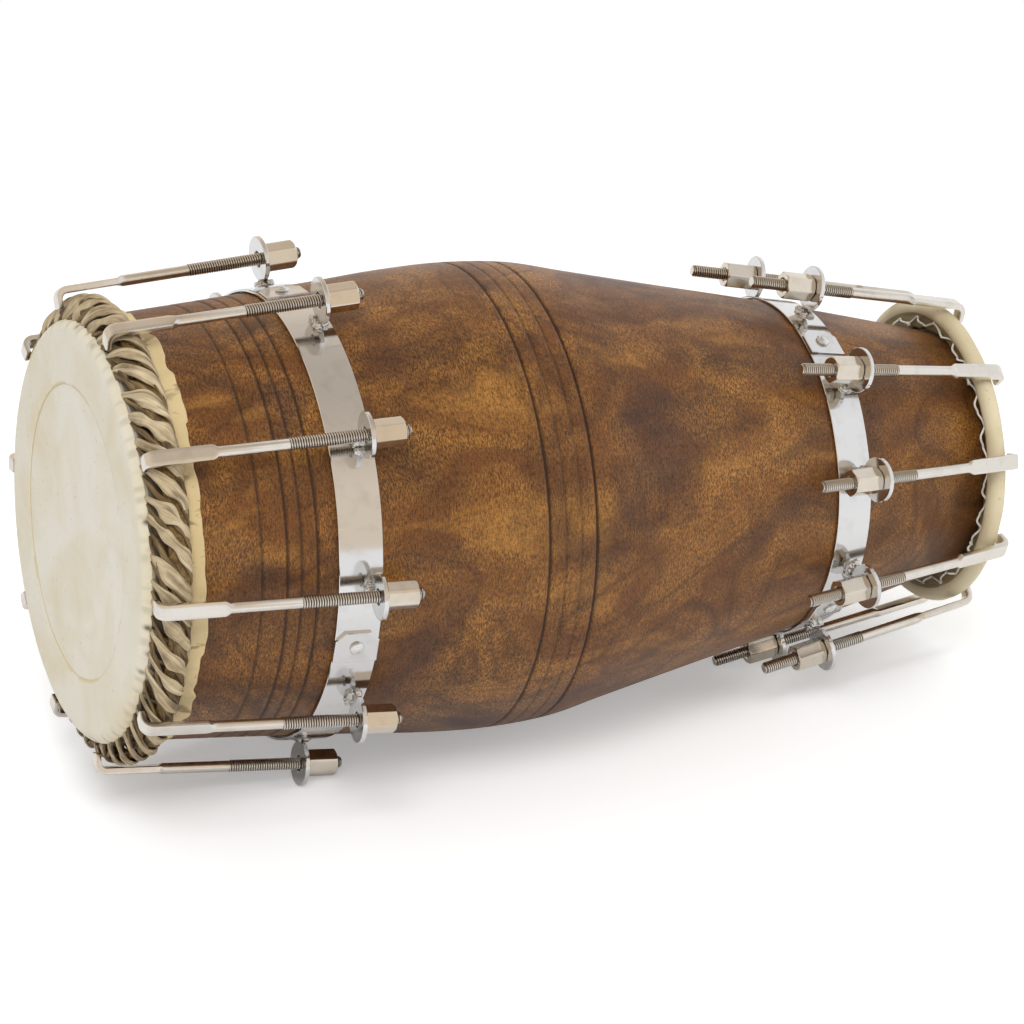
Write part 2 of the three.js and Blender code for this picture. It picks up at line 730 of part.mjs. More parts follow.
// The lowest point of one side's lugs, below the drum's axis.
function lowestLug(rods) {
  return Math.max(...rods.wander.map((_, i) => (
    -boltFrame(rods, i).elements[14] + lug.radius
  )));
}

// The drum leans until the lowest lugs of both bands touch the ground.
const lean = Math.atan2(lowestLug(bassRods) - lowestLug(trebleRods), trebleRods.lugX - bassRods.lugX);
drum.rotation.y = lean;
drum.updateMatrixWorld(true);

const part = new THREE.Group();
part.add(drum);
const box = new THREE.Box3().setFromObject(part, true);
const centre = box.getCenter(new THREE.Vector3());
drum.position.set(-centre.x, -centre.y, -box.min.z);

export default part;
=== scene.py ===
"""The dressed naal: every visible surface of the drum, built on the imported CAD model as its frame.

The drum's own space has x along the shell from the bass head, and angles counted from the top towards the front.
Sizes are in millimetres there, and one matrix takes them to the row's frame in metres.
"""

import json
import math

import bmesh
import bpy
import numpy as np
from bpy.props import FloatProperty, FloatVectorProperty, IntProperty, PointerProperty
from mathutils import Matrix, Vector


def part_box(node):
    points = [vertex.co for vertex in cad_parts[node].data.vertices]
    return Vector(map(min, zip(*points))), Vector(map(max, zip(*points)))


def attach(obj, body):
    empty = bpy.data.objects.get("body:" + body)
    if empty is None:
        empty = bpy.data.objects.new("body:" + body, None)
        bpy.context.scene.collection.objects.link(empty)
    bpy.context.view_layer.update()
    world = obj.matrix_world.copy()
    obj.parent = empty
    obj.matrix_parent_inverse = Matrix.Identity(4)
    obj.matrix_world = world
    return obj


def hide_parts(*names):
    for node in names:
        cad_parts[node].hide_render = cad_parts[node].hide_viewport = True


bl_info = {
    "name": "Naal drum",
    "version": (1, 0, 0),
    "blender": (4, 5, 0),
    "location": "View3D > Sidebar > Naal",
    "description": "Dresses a naal drum with its wood, skins, plait and plated fittings",
    "category": "Add Mesh",
}

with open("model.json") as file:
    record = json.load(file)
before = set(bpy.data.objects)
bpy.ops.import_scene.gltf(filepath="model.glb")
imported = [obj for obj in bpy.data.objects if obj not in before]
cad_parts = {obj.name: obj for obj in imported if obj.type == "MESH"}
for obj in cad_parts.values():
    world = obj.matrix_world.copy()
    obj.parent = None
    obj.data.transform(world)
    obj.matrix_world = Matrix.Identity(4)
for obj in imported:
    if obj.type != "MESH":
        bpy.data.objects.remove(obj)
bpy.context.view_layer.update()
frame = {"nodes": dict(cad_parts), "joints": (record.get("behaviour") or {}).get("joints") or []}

DRUM_BODY = "drum"
MM = 0.001
# where the bass hoop's centre lies along the drum, which says where x is nought
HOOP_CENTRE_X = 10.5


# The drum's own space


def drum_space():
    """The matrix from the drum's space to the row's: its axis joins the centres of the hoop and the iron ring."""
    centres = []
    for node in ("bass_hoop", "treble_iron_ring"):
        low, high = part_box(node)
        centres.append((np.array(low) + np.array(high)) / 2)
    along = centres[1] - centres[0]
    along /= np.linalg.norm(along)
    across = np.array((0.0, 1.0, 0.0))
    across -= along * (across @ along)
    across /= np.linalg.norm(across)
    matrix = np.eye(4)
    matrix[:3, :3] = np.column_stack((along, across, np.cross(along, across))) * MM
    matrix[:3, 3] = centres[0] - along * HOOP_CENTRE_X * MM
    return matrix


SPACE = drum_space()


def placed(points, matrix):
    """Points carried by a 4x4 matrix."""
    return points @ matrix[:3, :3].T + matrix[:3, 3]


def round_drum(x, r, t):
    """Points of the drum's space at an x, a radius and an angle: y = -r sin t and z = r cos t."""
    return np.stack((x, -r * np.sin(t), r * np.cos(t)), -1)


def round_rod(r, z, a):
    """Points round the z axis of a bolt or a rivet: x = r cos a and y = r sin a."""
    return np.stack((r * np.cos(a), r * np.sin(a), z + 0 * a), -1)


def bolt_frames(side):
    """The nut's body and a 4x4 for each bolt of a side: z runs along the rod to its hook, y away from the drum and x
    across; mm to row."""
    hinges = [joint for joint in frame["joints"] if joint["type"] == "hinge" and joint["name"].startswith(side)]
    axis = SPACE[:3, 0] / MM
    frames = []
    for hinge in sorted(hinges, key=lambda joint: joint["name"]):
        place = np.array(hinge["pos_m"])
        along = -np.array(hinge["axis"])
        radial = place - SPACE[:3, 3]
        radial -= axis * (radial @ axis)
        up = radial - along * (radial @ along)
        up /= np.linalg.norm(up)
        matrix = np.eye(4)
        matrix[:3, :3] = np.column_stack((np.cross(up, along), up, along)) * MM
        matrix[:3, 3] = place
        frames.append((hinge["child"], matrix))
    return frames


# Settings


def length(name, default, description):
    """A size in millimetres, as a property."""
    return FloatProperty(name=name, description=description, default=default, min=0.0, unit="NONE")


def colour(name, code, description):
    """A colour property with its default written as an sRGB hex code."""
    return FloatVectorProperty(
        name=name, description=description, subtype="COLOR", size=3, min=0.0, max=1.0, default=linear(code)[:3]
    )


def linear(code):
    """An sRGB hex code as linear red, green, blue and alpha."""
    parts = [int(code[i : i + 2], 16) / 255 for i in (1, 3, 5)]
    return tuple(p / 12.92 if p <= 0.04045 else ((p + 0.055) / 1.055) ** 2.4 for p in parts) + (1.0,)


class ShellSizes(bpy.types.PropertyGroup):
    """Sizes of the turned shell."""

    groove_depth: length("Groove depth", 1.0, "Depth of the turned grooves, in millimetres")
    groove_width: length("Groove width", 1.9, "Width of the turned grooves, in millimetres")


class HeadSizes(bpy.types.PropertyGroup):
    """Sizes of the two heads."""

    skirt_end: length("Skirt end", 25.5, "Where the bass skirt's torn hem lies along the shell, in millimetres")
    rim_layer_radius: length("Rim layer radius", 72.9, "Inner radius of the layer on the bass rim, in millimetres")
    plait_turns: IntProperty(
        name="Plait turns", description="Turns of the wide thong round the hoop", default=50, min=8
    )


class FittingSizes(bpy.types.PropertyGroup):
    """Sizes of the bands, bolts and nuts."""

    thread_pitch: length("Thread pitch", 1.27, "Pitch of the rolled thread, in millimetres")
    thread_radius: length("Thread radius", 3.17, "Outer radius of the rolled thread, in millimetres")
    shank_radius: length("Shank radius", 2.75, "Radius of the plain shank, in millimetres")
    nut_across_flats: length("Nut across flats", 12.5, "Width of the hexagon nuts across their flats, in millimetres")
    nut_length: length("Nut length", 16.5, "Length of the hexagon nuts, in millimetres")


class Finishes(bpy.types.PropertyGroup):
    """Colours of the drum's materials."""

    wood_light: colour("Wood, light", "#B07A38", "Golden figure of the hardwood")
    wood_mid: colour("Wood, middle", "#74471F", "Body colour of the hardwood")
    wood_dark: colour("Wood, dark", "#4C2E18", "Dark streaks of the hardwood")
    bass_hide: colour("Bass hide", "#ECE5D6", "Bare skin of the bass head")
    skirt_hide: colour("Skirt hide", "#D9C192", "Translucent skin of the skirt")
    thong_hide: colour("Thong hide", "#C3AE8A", "Twisted rawhide thongs of the plait")
    treble_hide: colour("Treble hide", "#DBCEAD", "Skin rolled round the iron ring")
    nut_plate: colour("Nut plate", "#DDD4C6", "Warm nickel plate of the nuts")
    bolt_plate: colour("Bolt plate", "#E1DCD4", "Nickel plate of the hook bolts")
    band_plate: colour("Band plate", "#DDDDDD", "Bright plate of the bands")


class NaalSettings(bpy.types.PropertyGroup):
    """Everything a user would change."""

    shell: PointerProperty(type=ShellSizes)
    heads: PointerProperty(type=HeadSizes)
    fittings: PointerProperty(type=FittingSizes)
    finishes: PointerProperty(type=Finishes)


# Meshes from grids

# points nearer to each other than this, in metres, are one point
MERGE_REACH = 2e-6


def grid_faces(rows, columns, wrap_rows, wrap_columns):
    """Corner numbers and grid places of every quad of a grid, wrapped round where it closes on itself."""
    i, j = np.meshgrid(
        np.arange(rows if wrap_rows else rows - 1), np.arange(columns if wrap_columns else columns - 1), indexing="ij"
    )
    i, j = i.ravel(), j.ravel()
    corners = [(i, j), (i, j + 1), (i + 1, j + 1), (i + 1, j)]
    index = np.stack([(a % rows) * columns + (b % columns) for a, b in corners], 1)
    places = np.stack([np.stack((a, b), 1) for a, b in corners], 1)
    return index, places


def surface(name, points, body, material, wrap, uv_size=(1.0, 1.0), matrix=SPACE):
    """A piece that rides on a body, from one or more grids of points: closed where asked, with a UV map of the given
    size, its doubles merged and its faces outwards."""
    grids = points if isinstance(points, list) else [points]
    vertices, faces, uvs, start = [], [], [], 0
    for grid in grids:
        rows, columns = grid.shape[:2]
        index, places = grid_faces(rows, columns, *wrap)
        vertices.append(grid.reshape(-1, 3))
        faces.append(index + start)
        uvs.append(places.reshape(-1, 2) / (rows, columns) * uv_size)
        start += rows * columns
    mesh = bpy.data.meshes.new(name)
    mesh.from_pydata(placed(np.concatenate(vertices), matrix).tolist(), [], np.concatenate(faces).tolist())
    uvs = np.concatenate(uvs).astype(np.float32)
    mesh.uv_layers.new(name="UVMap").data.foreach_set("uv", uvs.ravel())
    work = bmesh.new()
    work.from_mesh(mesh)
    bmesh.ops.remove_doubles(work, verts=work.verts, dist=MERGE_REACH)
    bmesh.ops.dissolve_degenerate(work, edges=work.edges, dist=MERGE_REACH / 20)
    bmesh.ops.recalc_face_normals(work, faces=work.faces)
    work.to_mesh(mesh)
    work.free()
    mesh.polygons.foreach_set("use_smooth", np.ones(len(mesh.polygons), bool))
    mesh.materials.append(material)
    piece = bpy.data.objects.new(name, mesh)
    bpy.context.scene.collection.objects.link(piece)
    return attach(piece, body)


def turned(profile, segments, wobble=None):
    """A profile of (x, radius) carried round the drum's axis, and made uneven by a wobble of x, radius and angle."""
    profile = np.asarray(profile, float)
    t = np.linspace(0, 2 * np.pi, segments, endpoint=False)
    x = np.repeat(profile[:, :1], segments, 1)
    r = np.repeat(profile[:, 1:], segments, 1)
    if wobble is not None:
        x, r = wobble(x, r, t[None, :])
    return round_drum(x, r, t)


def waves(t, seed, terms, power=1.0):
    """A sum of sines round the circle with seeded phases, each term weaker than the last."""
    dice = np.random.default_rng(seed)
    total = np.zeros_like(t)
    for n in terms:
        total = total + np.sin(n * t + dice.uniform(0, 6.28)) * dice.uniform(0.6, 1.0) / n**power
    return total


def catmull(knots, x):
    """Radius at x on the smooth curve through (x, radius) knots, by piecewise cubics with averaged slopes."""
    knots = np.asarray(knots, float)
    kx, ky = knots.T
    slope = np.gradient(ky, kx)
    k = np.clip(np.searchsorted(kx, x) - 1, 0, len(kx) - 2)
    h = kx[k + 1] - kx[k]
    s = (x - kx[k]) / h
    return (
        ky[k] * (1 + 2 * s) * (1 - s) ** 2
        + h * slope[k] * s * (1 - s) ** 2
        + ky[k + 1] * s**2 * (3 - 2 * s)
        + h * slope[k + 1] * s**2 * (s - 1)
    )


SHELL_KNOTS = (
    (-3.1, 103), (64, 108.2), (131, 113.9), (165, 117.1), (203, 118.4), (232, 116.2), (258, 110.6),
    (310, 99.6), (364, 88.4), (420, 75.6), (475.5, 62),
)  # fmt: skip
GROOVES = ((53, 0.6), (65.5, 0.8), (72.5, 0.65), (80.5, 0.8), (197, 0.95), (205.5, 0.4), (214, 0.4), (222.5, 1.0))


def shell_radius(x):
    """The shell's outer radius at x."""
    return catmull(SHELL_KNOTS, np.asarray(x, float))


def grooves(x, reach):
    """How deep the grooves are at x, as a share of a full groove: the sum of a bell of that reach at each place."""
    return sum(share * np.exp(-(((x - place) / reach) ** 2)) for place, share in GROOVES)


# Materials

# a Mix node's sockets for colours: the share of the second, the first, the second, and the mixed colour
SHARE, FIRST, SECOND, MIXED = 0, 6, 7, 2
BLEND = {"data_type": "RGBA"}
SHADE = {"data_type": "RGBA", "blend_type": "MULTIPLY"}


def grey(value):
    """A grey as linear rgba."""
    return (value, value, value, 1.0)


def opaque(chosen):
    """A colour property as rgba."""
    return tuple(chosen) + (1.0,)


def new_material(name):
    """A new material, its node tree and its Principled shader."""
    material = bpy.data.materials.new(name)
    material.use_nodes = True
    return material, material.node_tree, material.node_tree.nodes["Principled BSDF"]


def set_inputs(tree, node, inputs):
    """Sets a node's inputs by name or number: a socket is linked, and anything else is the input's own value."""
    for key, value in inputs.items():
        if isinstance(value, bpy.types.NodeSocket):
            tree.links.new(value, node.inputs[key])
        else:
            node.inputs[key].default_value = value


def add_node(tree, kind, inputs, settings=None, output=0, stops=()):
    """Adds one node with its settings, its inputs and a ramp's stops, each a place and an rgba or a grey's number.
    Gives the output of that name or number, or all of them for None."""
    node = tree.nodes.new("ShaderNode" + kind)
    for key, value in (settings or {}).items():
        setattr(node, key, value)
    set_inputs(tree, node, inputs)
    if stops:
        elements = node.color_ramp.elements
        while len(elements) < len(stops):
            elements.new(0.5)
        for element, (place, value) in zip(elements, stops):
            element.position = place
            element.color = value if isinstance(value, tuple) else grey(value)
    return node.outputs if output is None else node.outputs[output]


def drum_coordinates(tree, scale=(1.0, 1.0, 1.0)):
    """Object coordinates turned into the drum's space, x along the shell's axis, in metres, then scaled."""
    tilt = math.asin(-SPACE[2, 0] / MM)
    place = tuple(np.linalg.inv(SPACE)[:3, 3] * MM)
    source = add_node(tree, "TexCoord", {}, output="Object")
    level = add_node(tree, "Mapping", {"Vector": source, "Rotation": (0.0, -tilt, 0.0), "Location": place})
    return add_node(tree, "Mapping", {"Vector": level, "Scale": scale})


def marks(tree, scale, detail=2.0, distortion=0.0):
    """Soft marks in the drum's space: noise whose scale, along the shell and across it, is one over the size of its
    marks in metres."""
    place = drum_coordinates(tree, scale)
    return add_node(tree, "TexNoise", {"Vector": place, "Scale": 1.0, "Detail": detail, "Distortion": distortion})


def marks_round_shell(tree, width, length_, lean):
    """Noise drawn out round the shell into strokes of a width and length in metres, which lean to and fro with a
    slow noise. The arc is atan2(-y, z) times 0.1 m from the top on the upper half and from the bottom on the lower
    half, so that neither half shows the place where its arc closes."""
    x, y, z = add_node(tree, "SeparateXYZ", {"Vector": drum_coordinates(tree)}, output=None)[:3]
    slow = marks(tree, (26, 26, 26), 1.0)
    bent = add_node(tree, "Math", {0: slow, 1: lean, 2: x}, {"operation": "MULTIPLY_ADD"})
    across = add_node(tree, "Math", {0: bent, 1: 1 / width}, {"operation": "MULTIPLY"})
    halves = []
    for sign in (1.0, -1.0):
        front = add_node(tree, "Math", {0: y, 1: -sign}, {"operation": "MULTIPLY"})
        height = add_node(tree, "Math", {0: z, 1: sign}, {"operation": "MULTIPLY"})
        angle = add_node(tree, "Math", {0: front, 1: height}, {"operation": "ARCTAN2"})
        arc = add_node(tree, "Math", {0: angle, 1: 0.1 / length_}, {"operation": "MULTIPLY"})
        place = add_node(tree, "CombineXYZ", {"X": across, "Y": arc})
        halves.append(add_node(tree, "TexNoise", {"Vector": place, "Scale": 1.0, "Distortion": 0.7}))
    upper = add_node(tree, "MapRange", {"Value": z, "From Min": -0.03, "From Max": 0.03})
    return add_node(tree, "Mix", {SHARE: upper, FIRST: halves[1], SECOND: halves[0]}, BLEND, MIXED)


def seen_rays(tree):
    """Two numbers that are one or nought: one for rays of the camera, of metal and of glass, and one for rays of
    metal and of glass alone."""
    rays = add_node(tree, "LightPath", {}, output=None)
    either = {"operation": "MAXIMUM"}
    mirrored = add_node(tree, "Math", {0: rays["Is Glossy Ray"], 1: rays["Is Transmission Ray"]}, either)
    return add_node(tree, "Math", {0: rays["Is Camera Ray"], 1: mirrored}, either), mirrored


def varnished_hardwood(finishes):
    """Rosewood family hardwood, turned and sanded on a lathe, so that its interlocked figure breaks into short strokes
    round the shell, then wiped with shellac to a satin film."""
    material, tree, shader = new_material("varnished_hardwood")
    light, middle, dark = (opaque(c) for c in (finishes.wood_light, finishes.wood_mid, finishes.wood_dark))
    # growth layers: broad streaks a few centimetres wide that wander along the shell
    layers = marks(tree, (7, 20, 20), 3.0, 1.4)
    base = add_node(
        tree, "ValToRGB", {"Fac": layers}, stops=[(0.32, dark), (0.45, middle), (0.6, middle), (0.75, light)]
    )
    # figure: strokes about 10 by 1.6 mm, and fine ones about 1.7 by 0.6 mm
    figure = marks_round_shell(tree, width=0.0016, length_=0.010, lean=0.02)
    fine = marks_round_shell(tree, width=0.0006, length_=0.0017, lean=0.012)
    # golden patches, two or three centimetres across, lit in the fine strokes alone
    patches = marks(tree, (20, 26, 26), 3.0, 1.0)
    golden = add_node(tree, "ValToRGB", {"Fac": patches}, stops=[(0.4, 0.08), (0.66, 1.0)])
    strokes = add_node(tree, "ValToRGB", {"Fac": fine}, stops=[(0.44, 0.0), (0.62, 1.0)])
    lit = add_node(tree, "Mix", {SHARE: 0.8, FIRST: golden, SECOND: strokes}, SHADE, MIXED)
    warm = add_node(tree, "Mix", {SHARE: lit, FIRST: base, SECOND: light}, BLEND, MIXED)
    # swirls: soft dark bands a centimetre wide that wind through the block
    swirls = marks(tree, (9, 12, 12), 1.0, 2.6)
    wound = add_node(tree, "ValToRGB", {"Fac": swirls}, stops=[(0.42, 0.0), (0.5, 0.5), (0.58, 0.0)])
    banded = add_node(tree, "Mix", {SHARE: wound, FIRST: warm, SECOND: dark}, BLEND, MIXED)
    # heart stain: cooler clouds four centimetres across
    clouds = marks(tree, (24, 24, 24), 2.0, 0.4)
    cool = add_node(tree, "ValToRGB", {"Fac": clouds}, stops=[(0.52, 0.0), (0.72, 0.5)])
    stained = add_node(tree, "Mix", {SHARE: cool, FIRST: banded, SECOND: linear("#44302A")}, BLEND, MIXED)
    fine_shade = add_node(tree, "ValToRGB", {"Fac": fine}, stops=[(0.36, 0.35), (0.56, 1.0)])
    broad_shade = add_node(tree, "ValToRGB", {"Fac": figure}, stops=[(0.34, 0.66), (0.58, 1.0)])
    stroked = add_node(tree, "Mix", {SHARE: 0.75, FIRST: stained, SECOND: fine_shade}, SHADE, MIXED)
    shaded = add_node(tree, "Mix", {SHARE: 0.7, FIRST: stroked, SECOND: broad_shade}, SHADE, MIXED)
    # pores: strokes about 3 mm long and a third of a millimetre wide along the block
    pores = marks(tree, (330, 2300, 2300), 1.0, 0.6)
    pore_shade = add_node(tree, "ValToRGB", {"Fac": pores}, stops=[(0.3, 0.5), (0.46, 1.0)])
    pored = add_node(tree, "Mix", {SHARE: 0.65, FIRST: shaded, SECOND: pore_shade}, SHADE, MIXED)
    groove = add_node(tree, "Attribute", {}, {"attribute_name": "groove"}, "Fac")
    raised = add_node(tree, "Bump", {"Height": fine, "Strength": 0.15, "Distance": 0.0002})
    inputs = {
        "Base Color": add_node(tree, "Mix", {SHARE: groove, FIRST: pored, SECOND: linear("#24160E")}, BLEND, MIXED),
        "Roughness": add_node(tree, "ValToRGB", {"Fac": patches}, stops=[(0.3, 0.5), (0.7, 0.42)]),
        "Specular IOR Level": 0.32,
        "Coat Weight": 0.06,
        "Coat Roughness": 0.35,
        "Sheen Weight": 0.06,
        "Sheen Roughness": 0.4,
        "Sheen Tint": linear("#C9BCCB"),
        "Normal": add_node(tree, "Bump", {"Height": pores, "Strength": 0.2, "Distance": 0.0002, "Normal": raised}),
    }
    set_inputs(tree, shader, inputs)
    return material


def rawhide(name, base_colour, deep_colour, rimmed=False, roughness=0.62, creases=0.0):
    """Goatskin, limed, scraped and dried on the drum: matt cream with cloudy yellowing and pinhead pores."""
    material, tree, shader = new_material(name)
    clouds = marks(tree, (18, 26, 26), 4.0, 0.6)
    yellowed = add_node(tree, "ValToRGB", {"Fac": clouds}, stops=[(0.4, 0.0), (0.72, 0.55)])
    base = add_node(tree, "Mix", {SHARE: yellowed, FIRST: base_colour, SECOND: deep_colour}, BLEND, MIXED)
    creased = marks(tree, (60, 130, 130), 3.0, 0.6)
    if creases:
        folds = add_node(tree, "ValToRGB", {"Fac": creased}, stops=[(0.34, linear("#755A34")), (0.42, base_colour)])
        base = add_node(tree, "Mix", {SHARE: creases, FIRST: base, SECOND: folds}, BLEND, MIXED)
    specks = add_node(tree, "ValToRGB", {"Fac": marks(tree, (420, 420, 420))}, stops=[(0.26, 0.55), (0.33, 1.0)])
    tinted = add_node(tree, "Mix", {SHARE: 0.5, FIRST: base, SECOND: specks}, SHADE, MIXED)
    if rimmed:
        # the rim attribute deepens the skin's colour at its edges; at the corner under the plait it is partly painted
        # shade
        rim = add_node(tree, "Attribute", {}, {"attribute_name": "rim"}, "Fac")
        # the next attribute paints dark brown: real drips and specks, and painted shade in the thongs' holes and under
        # the plait
        stain = add_node(tree, "Attribute", {}, {"attribute_name": "stain"}, "Fac")
        edged = add_node(tree, "Mix", {SHARE: rim, FIRST: tinted, SECOND: deep_colour}, BLEND, MIXED)
        tinted = add_node(tree, "Mix", {SHARE: stain, FIRST: edged, SECOND: linear("#3B2717")}, BLEND, MIXED)
    normal = add_node(tree, "Bump", {"Height": clouds, "Strength": 0.3, "Distance": 0.0006})
    fine = marks(tree, (900, 900, 900), 3.0)
    normal = add_node(tree, "Bump", {"Height": fine, "Strength": 0.2, "Distance": 0.0002, "Normal": normal})
    normal = add_node(tree, "Bump", {"Height": creased, "Strength": creases, "Distance": 0.0012, "Normal": normal})
    inputs = {
        "Base Color": tinted,
        "Roughness": roughness,
        "IOR": 1.45,
        "Subsurface Weight": 0.12,
        "Subsurface Radius": (0.004, 0.0025, 0.0015),
        "Subsurface Scale": 1.0,
        "Normal": normal,
    }
    set_inputs(tree, shader, inputs)
    return material


def thong_hide(name, base_colour, pale_colour, deep_colour):
    """Rawhide cut into thongs, soaked, twisted and dried: matt, with long creases, by its own UV map in millimetres."""
    material, tree, shader = new_material(name)
    uv = add_node(tree, "TexCoord", {}, output="UV")
    broad = add_node(tree, "Mapping", {"Vector": uv, "Scale": (1 / 22, 1 / 2.6, 1.0)})
    narrow = add_node(tree, "Mapping", {"Vector": uv, "Scale": (1 / 14, 1 / 0.8, 1.0)})
    creases = add_node(tree, "TexNoise", {"Vector": broad, "Scale": 1.0, "Detail": 3.0, "Distortion": 0.5})
    fibres = add_node(tree, "TexNoise", {"Vector": narrow, "Scale": 1.0, "Distortion": 0.3})
    stains = add_node(tree, "ValToRGB", {"Fac": marks(tree, (80, 80, 80), 3.0)}, stops=[(0.42, 0.0), (0.68, 0.9)])
    worn = add_node(tree, "Mix", {SHARE: stains, FIRST: base_colour, SECOND: deep_colour}, BLEND, MIXED)
    rubbed = add_node(tree, "ValToRGB", {"Fac": creases}, stops=[(0.5, 0.0), (0.7, 0.8)])
    pale = add_node(tree, "Mix", {SHARE: rubbed, FIRST: worn, SECOND: pale_colour}, BLEND, MIXED)
    dark = add_node(tree, "ValToRGB", {"Fac": creases}, stops=[(0.32, 0.35), (0.46, 1.0)])
    creased = add_node(tree, "Mix", {SHARE: 0.8, FIRST: pale, SECOND: dark}, SHADE, MIXED)
    lines = add_node(tree, "ValToRGB", {"Fac": fibres}, stops=[(0.36, 0.55), (0.5, 1.0)])
    lined = add_node(tree, "Mix", {SHARE: 0.6, FIRST: creased, SECOND: lines}, SHADE, MIXED)
    normal = add_node(tree, "Bump", {"Height": creases, "Strength": 0.7, "Distance": 0.0008})
    normal = add_node(tree, "Bump", {"Height": fibres, "Strength": 0.5, "Distance": 0.0003, "Normal": normal})
    set_inputs(tree, shader, {"Base Color": lined, "Roughness": 0.66, "Normal": normal})
    return material


def plated(name, base_colour, roughness):
    """Steel polished, then electroplated: a smooth metal whose gloss and tint are a little cloudy from handling, and
    which is dull and dark in the thread's roots: the oxide there, and painted shade."""
    material, tree, shader = new_material(name)
    clouds = marks(tree, (120, 120, 120))
    cloudy = add_node(tree, "ValToRGB", {"Fac": clouds}, stops=[(0.5, 0.0), (0.8, 0.25)])
    tint = add_node(tree, "Mix", {SHARE: cloudy, FIRST: base_colour, SECOND: linear("#B3A792")}, BLEND, MIXED)
    gloss = add_node(tree, "ValToRGB", {"Fac": clouds}, stops=[(0.35, roughness), (0.8, roughness + 0.07)])
    root = add_node(tree, "Attribute", {}, {"attribute_name": "root"}, "Fac")
    inputs = {
        "Base Color": add_node(tree, "Mix", {SHARE: root, FIRST: tint, SECOND: linear("#4A3F33")}, BLEND, MIXED),
        "Metallic": 1.0,
        "Roughness": add_node(tree, "Mix", {SHARE: root, FIRST: gloss, SECOND: grey(0.5)}, BLEND, MIXED),
    }
    set_inputs(tree, shader, inputs)
    return material


def paste(name, base_colour, cell_size):
    """Hand-laid tuning paste: black layers rubbed with stone, crazed into little cells."""
    material, tree, shader = new_material(name)
    grid = {"Vector": drum_coordinates(tree), "Scale": 1.0 / cell_size}
    cells = add_node(tree, "TexVoronoi", grid, {"feature": "DISTANCE_TO_EDGE"}, "Distance")
    cracks = add_node(tree, "ValToRGB", {"Fac": cells}, stops=[(0.0, 0.25), (0.09, 1.0)])
    inputs = {
        "Base Color": add_node(tree, "Mix", {SHARE: 1.0, FIRST: base_colour, SECOND: cracks}, SHADE, MIXED),
        "Roughness": 0.42,
        "Normal": add_node(tree, "Bump", {"Height": cracks, "Strength": 0.5, "Distance": 0.0003}),
    }
    set_inputs(tree, shader, inputs)
    return material


def bare_cane():
    """Split cane inside the plait."""
    material, tree, shader = new_material("split_cane")
    fibres = marks(tree, (500, 500, 500), 3.0)
    cane = add_node(
        tree, "ValToRGB", {"Fac": fibres}, stops=[(0.35, linear("#5B4527")), (0.7, linear("#8E7242"))]
    )
    set_inputs(tree, shader, {"Base Color": cane, "Roughness": 0.7})
    return material


MADE = {}


def finish_of(name):
    """The material of that name, made once."""
    chosen = bpy.context.scene.naal.finishes
    makers = {
        # turned, sanded and wiped with shellac: figured, with a satin film
        "wood": lambda: varnished_hardwood(chosen),
        # goatskin scraped until it is almost white, and the same skin dried over the wood: thin, yellow and creased
        "bass": lambda: rawhide("scraped_goatskin", opaque(chosen.bass_hide), linear("#DCC9A0"), rimmed=True),
        "skirt": lambda: rawhide(
            "skirt_goatskin", opaque(chosen.skirt_hide), linear("#B8965C"), rimmed=True, roughness=0.5, creases=0.6
        ),
        # skin rolled wet round the ring: tight, smooth and yellower; and its sewn edge behind, a darker copy of the
        # skin as painted shade
        "treble": lambda: rawhide("rolled_goatskin", opaque(chosen.treble_hide), linear("#BCA67A"), roughness=0.5),
        "flange": lambda: rawhide("sewn_goatskin", linear("#A99970"), linear("#7C6A45"), roughness=0.45),
        # thongs twisted wet: pale where they rub; those that lie under others get a darker copy, which is painted shade
        "thong": lambda: thong_hide("rawhide_thong", opaque(chosen.thong_hide), linear("#DECEAD"), linear("#80694A")),
        "under_thong": lambda: thong_hide(
            "brown_rawhide_thong", linear("#6E5736"), linear("#9A835A"), linear("#3E2D1B")
        ),
        # waxed cotton: off-white, as matt as the skins that it sews
        "thread": lambda: rawhide("sewing_thread", linear("#F2EFE6"), linear("#D8D2C0")),
        # nuts cut from hexagon bar and nickel plated: smooth and warm; bolts forged, then plated: a little duller
        "nickel": lambda: plated("nickel_plate", opaque(chosen.nut_plate), 0.13),
        "bolt": lambda: plated("bolt_plate", opaque(chosen.bolt_plate), 0.2),
        # rolled strip and welded beads under a bright plate: the clearest mirrors
        "chrome": lambda: plated("bright_plate", opaque(chosen.band_plate), 0.1),
        "weld": lambda: plated("plated_weld", linear("#D2D1CF"), 0.1),
        # iron filings and flour laid on in thin coats; oil paste, browner and coarser; cane split by hand
        "syahi": lambda: paste("iron_paste", linear("#1B1A19"), 0.0032),
        "masala": lambda: paste("oil_paste", linear("#2A1F18"), 0.006),
        "cane": bare_cane,
    }
    if name not in MADE:
        MADE[name] = makers[name]()
    return MADE[name]


def refinish(node, finish):
    """Gives a CAD node that stays in view its finish."""
    materials = frame["nodes"][node].data.materials
    materials.clear()
    materials.append(finish_of(finish))


def second_finish(piece, finish, chosen):
    """Gives a piece a second finish on the faces that are chosen by their middle's x and radius in the drum's space."""
    faces = piece.data.polygons
    middles = np.empty(len(faces) * 3, np.float32)
    faces.foreach_get("center", middles)
    x, y, z = placed(middles.reshape(-1, 3), np.linalg.inv(SPACE)).T
    piece.data.materials.append(finish_of(finish))
    faces.foreach_set("material_index", chosen(x, np.hypot(y, z)).astype(np.int32))


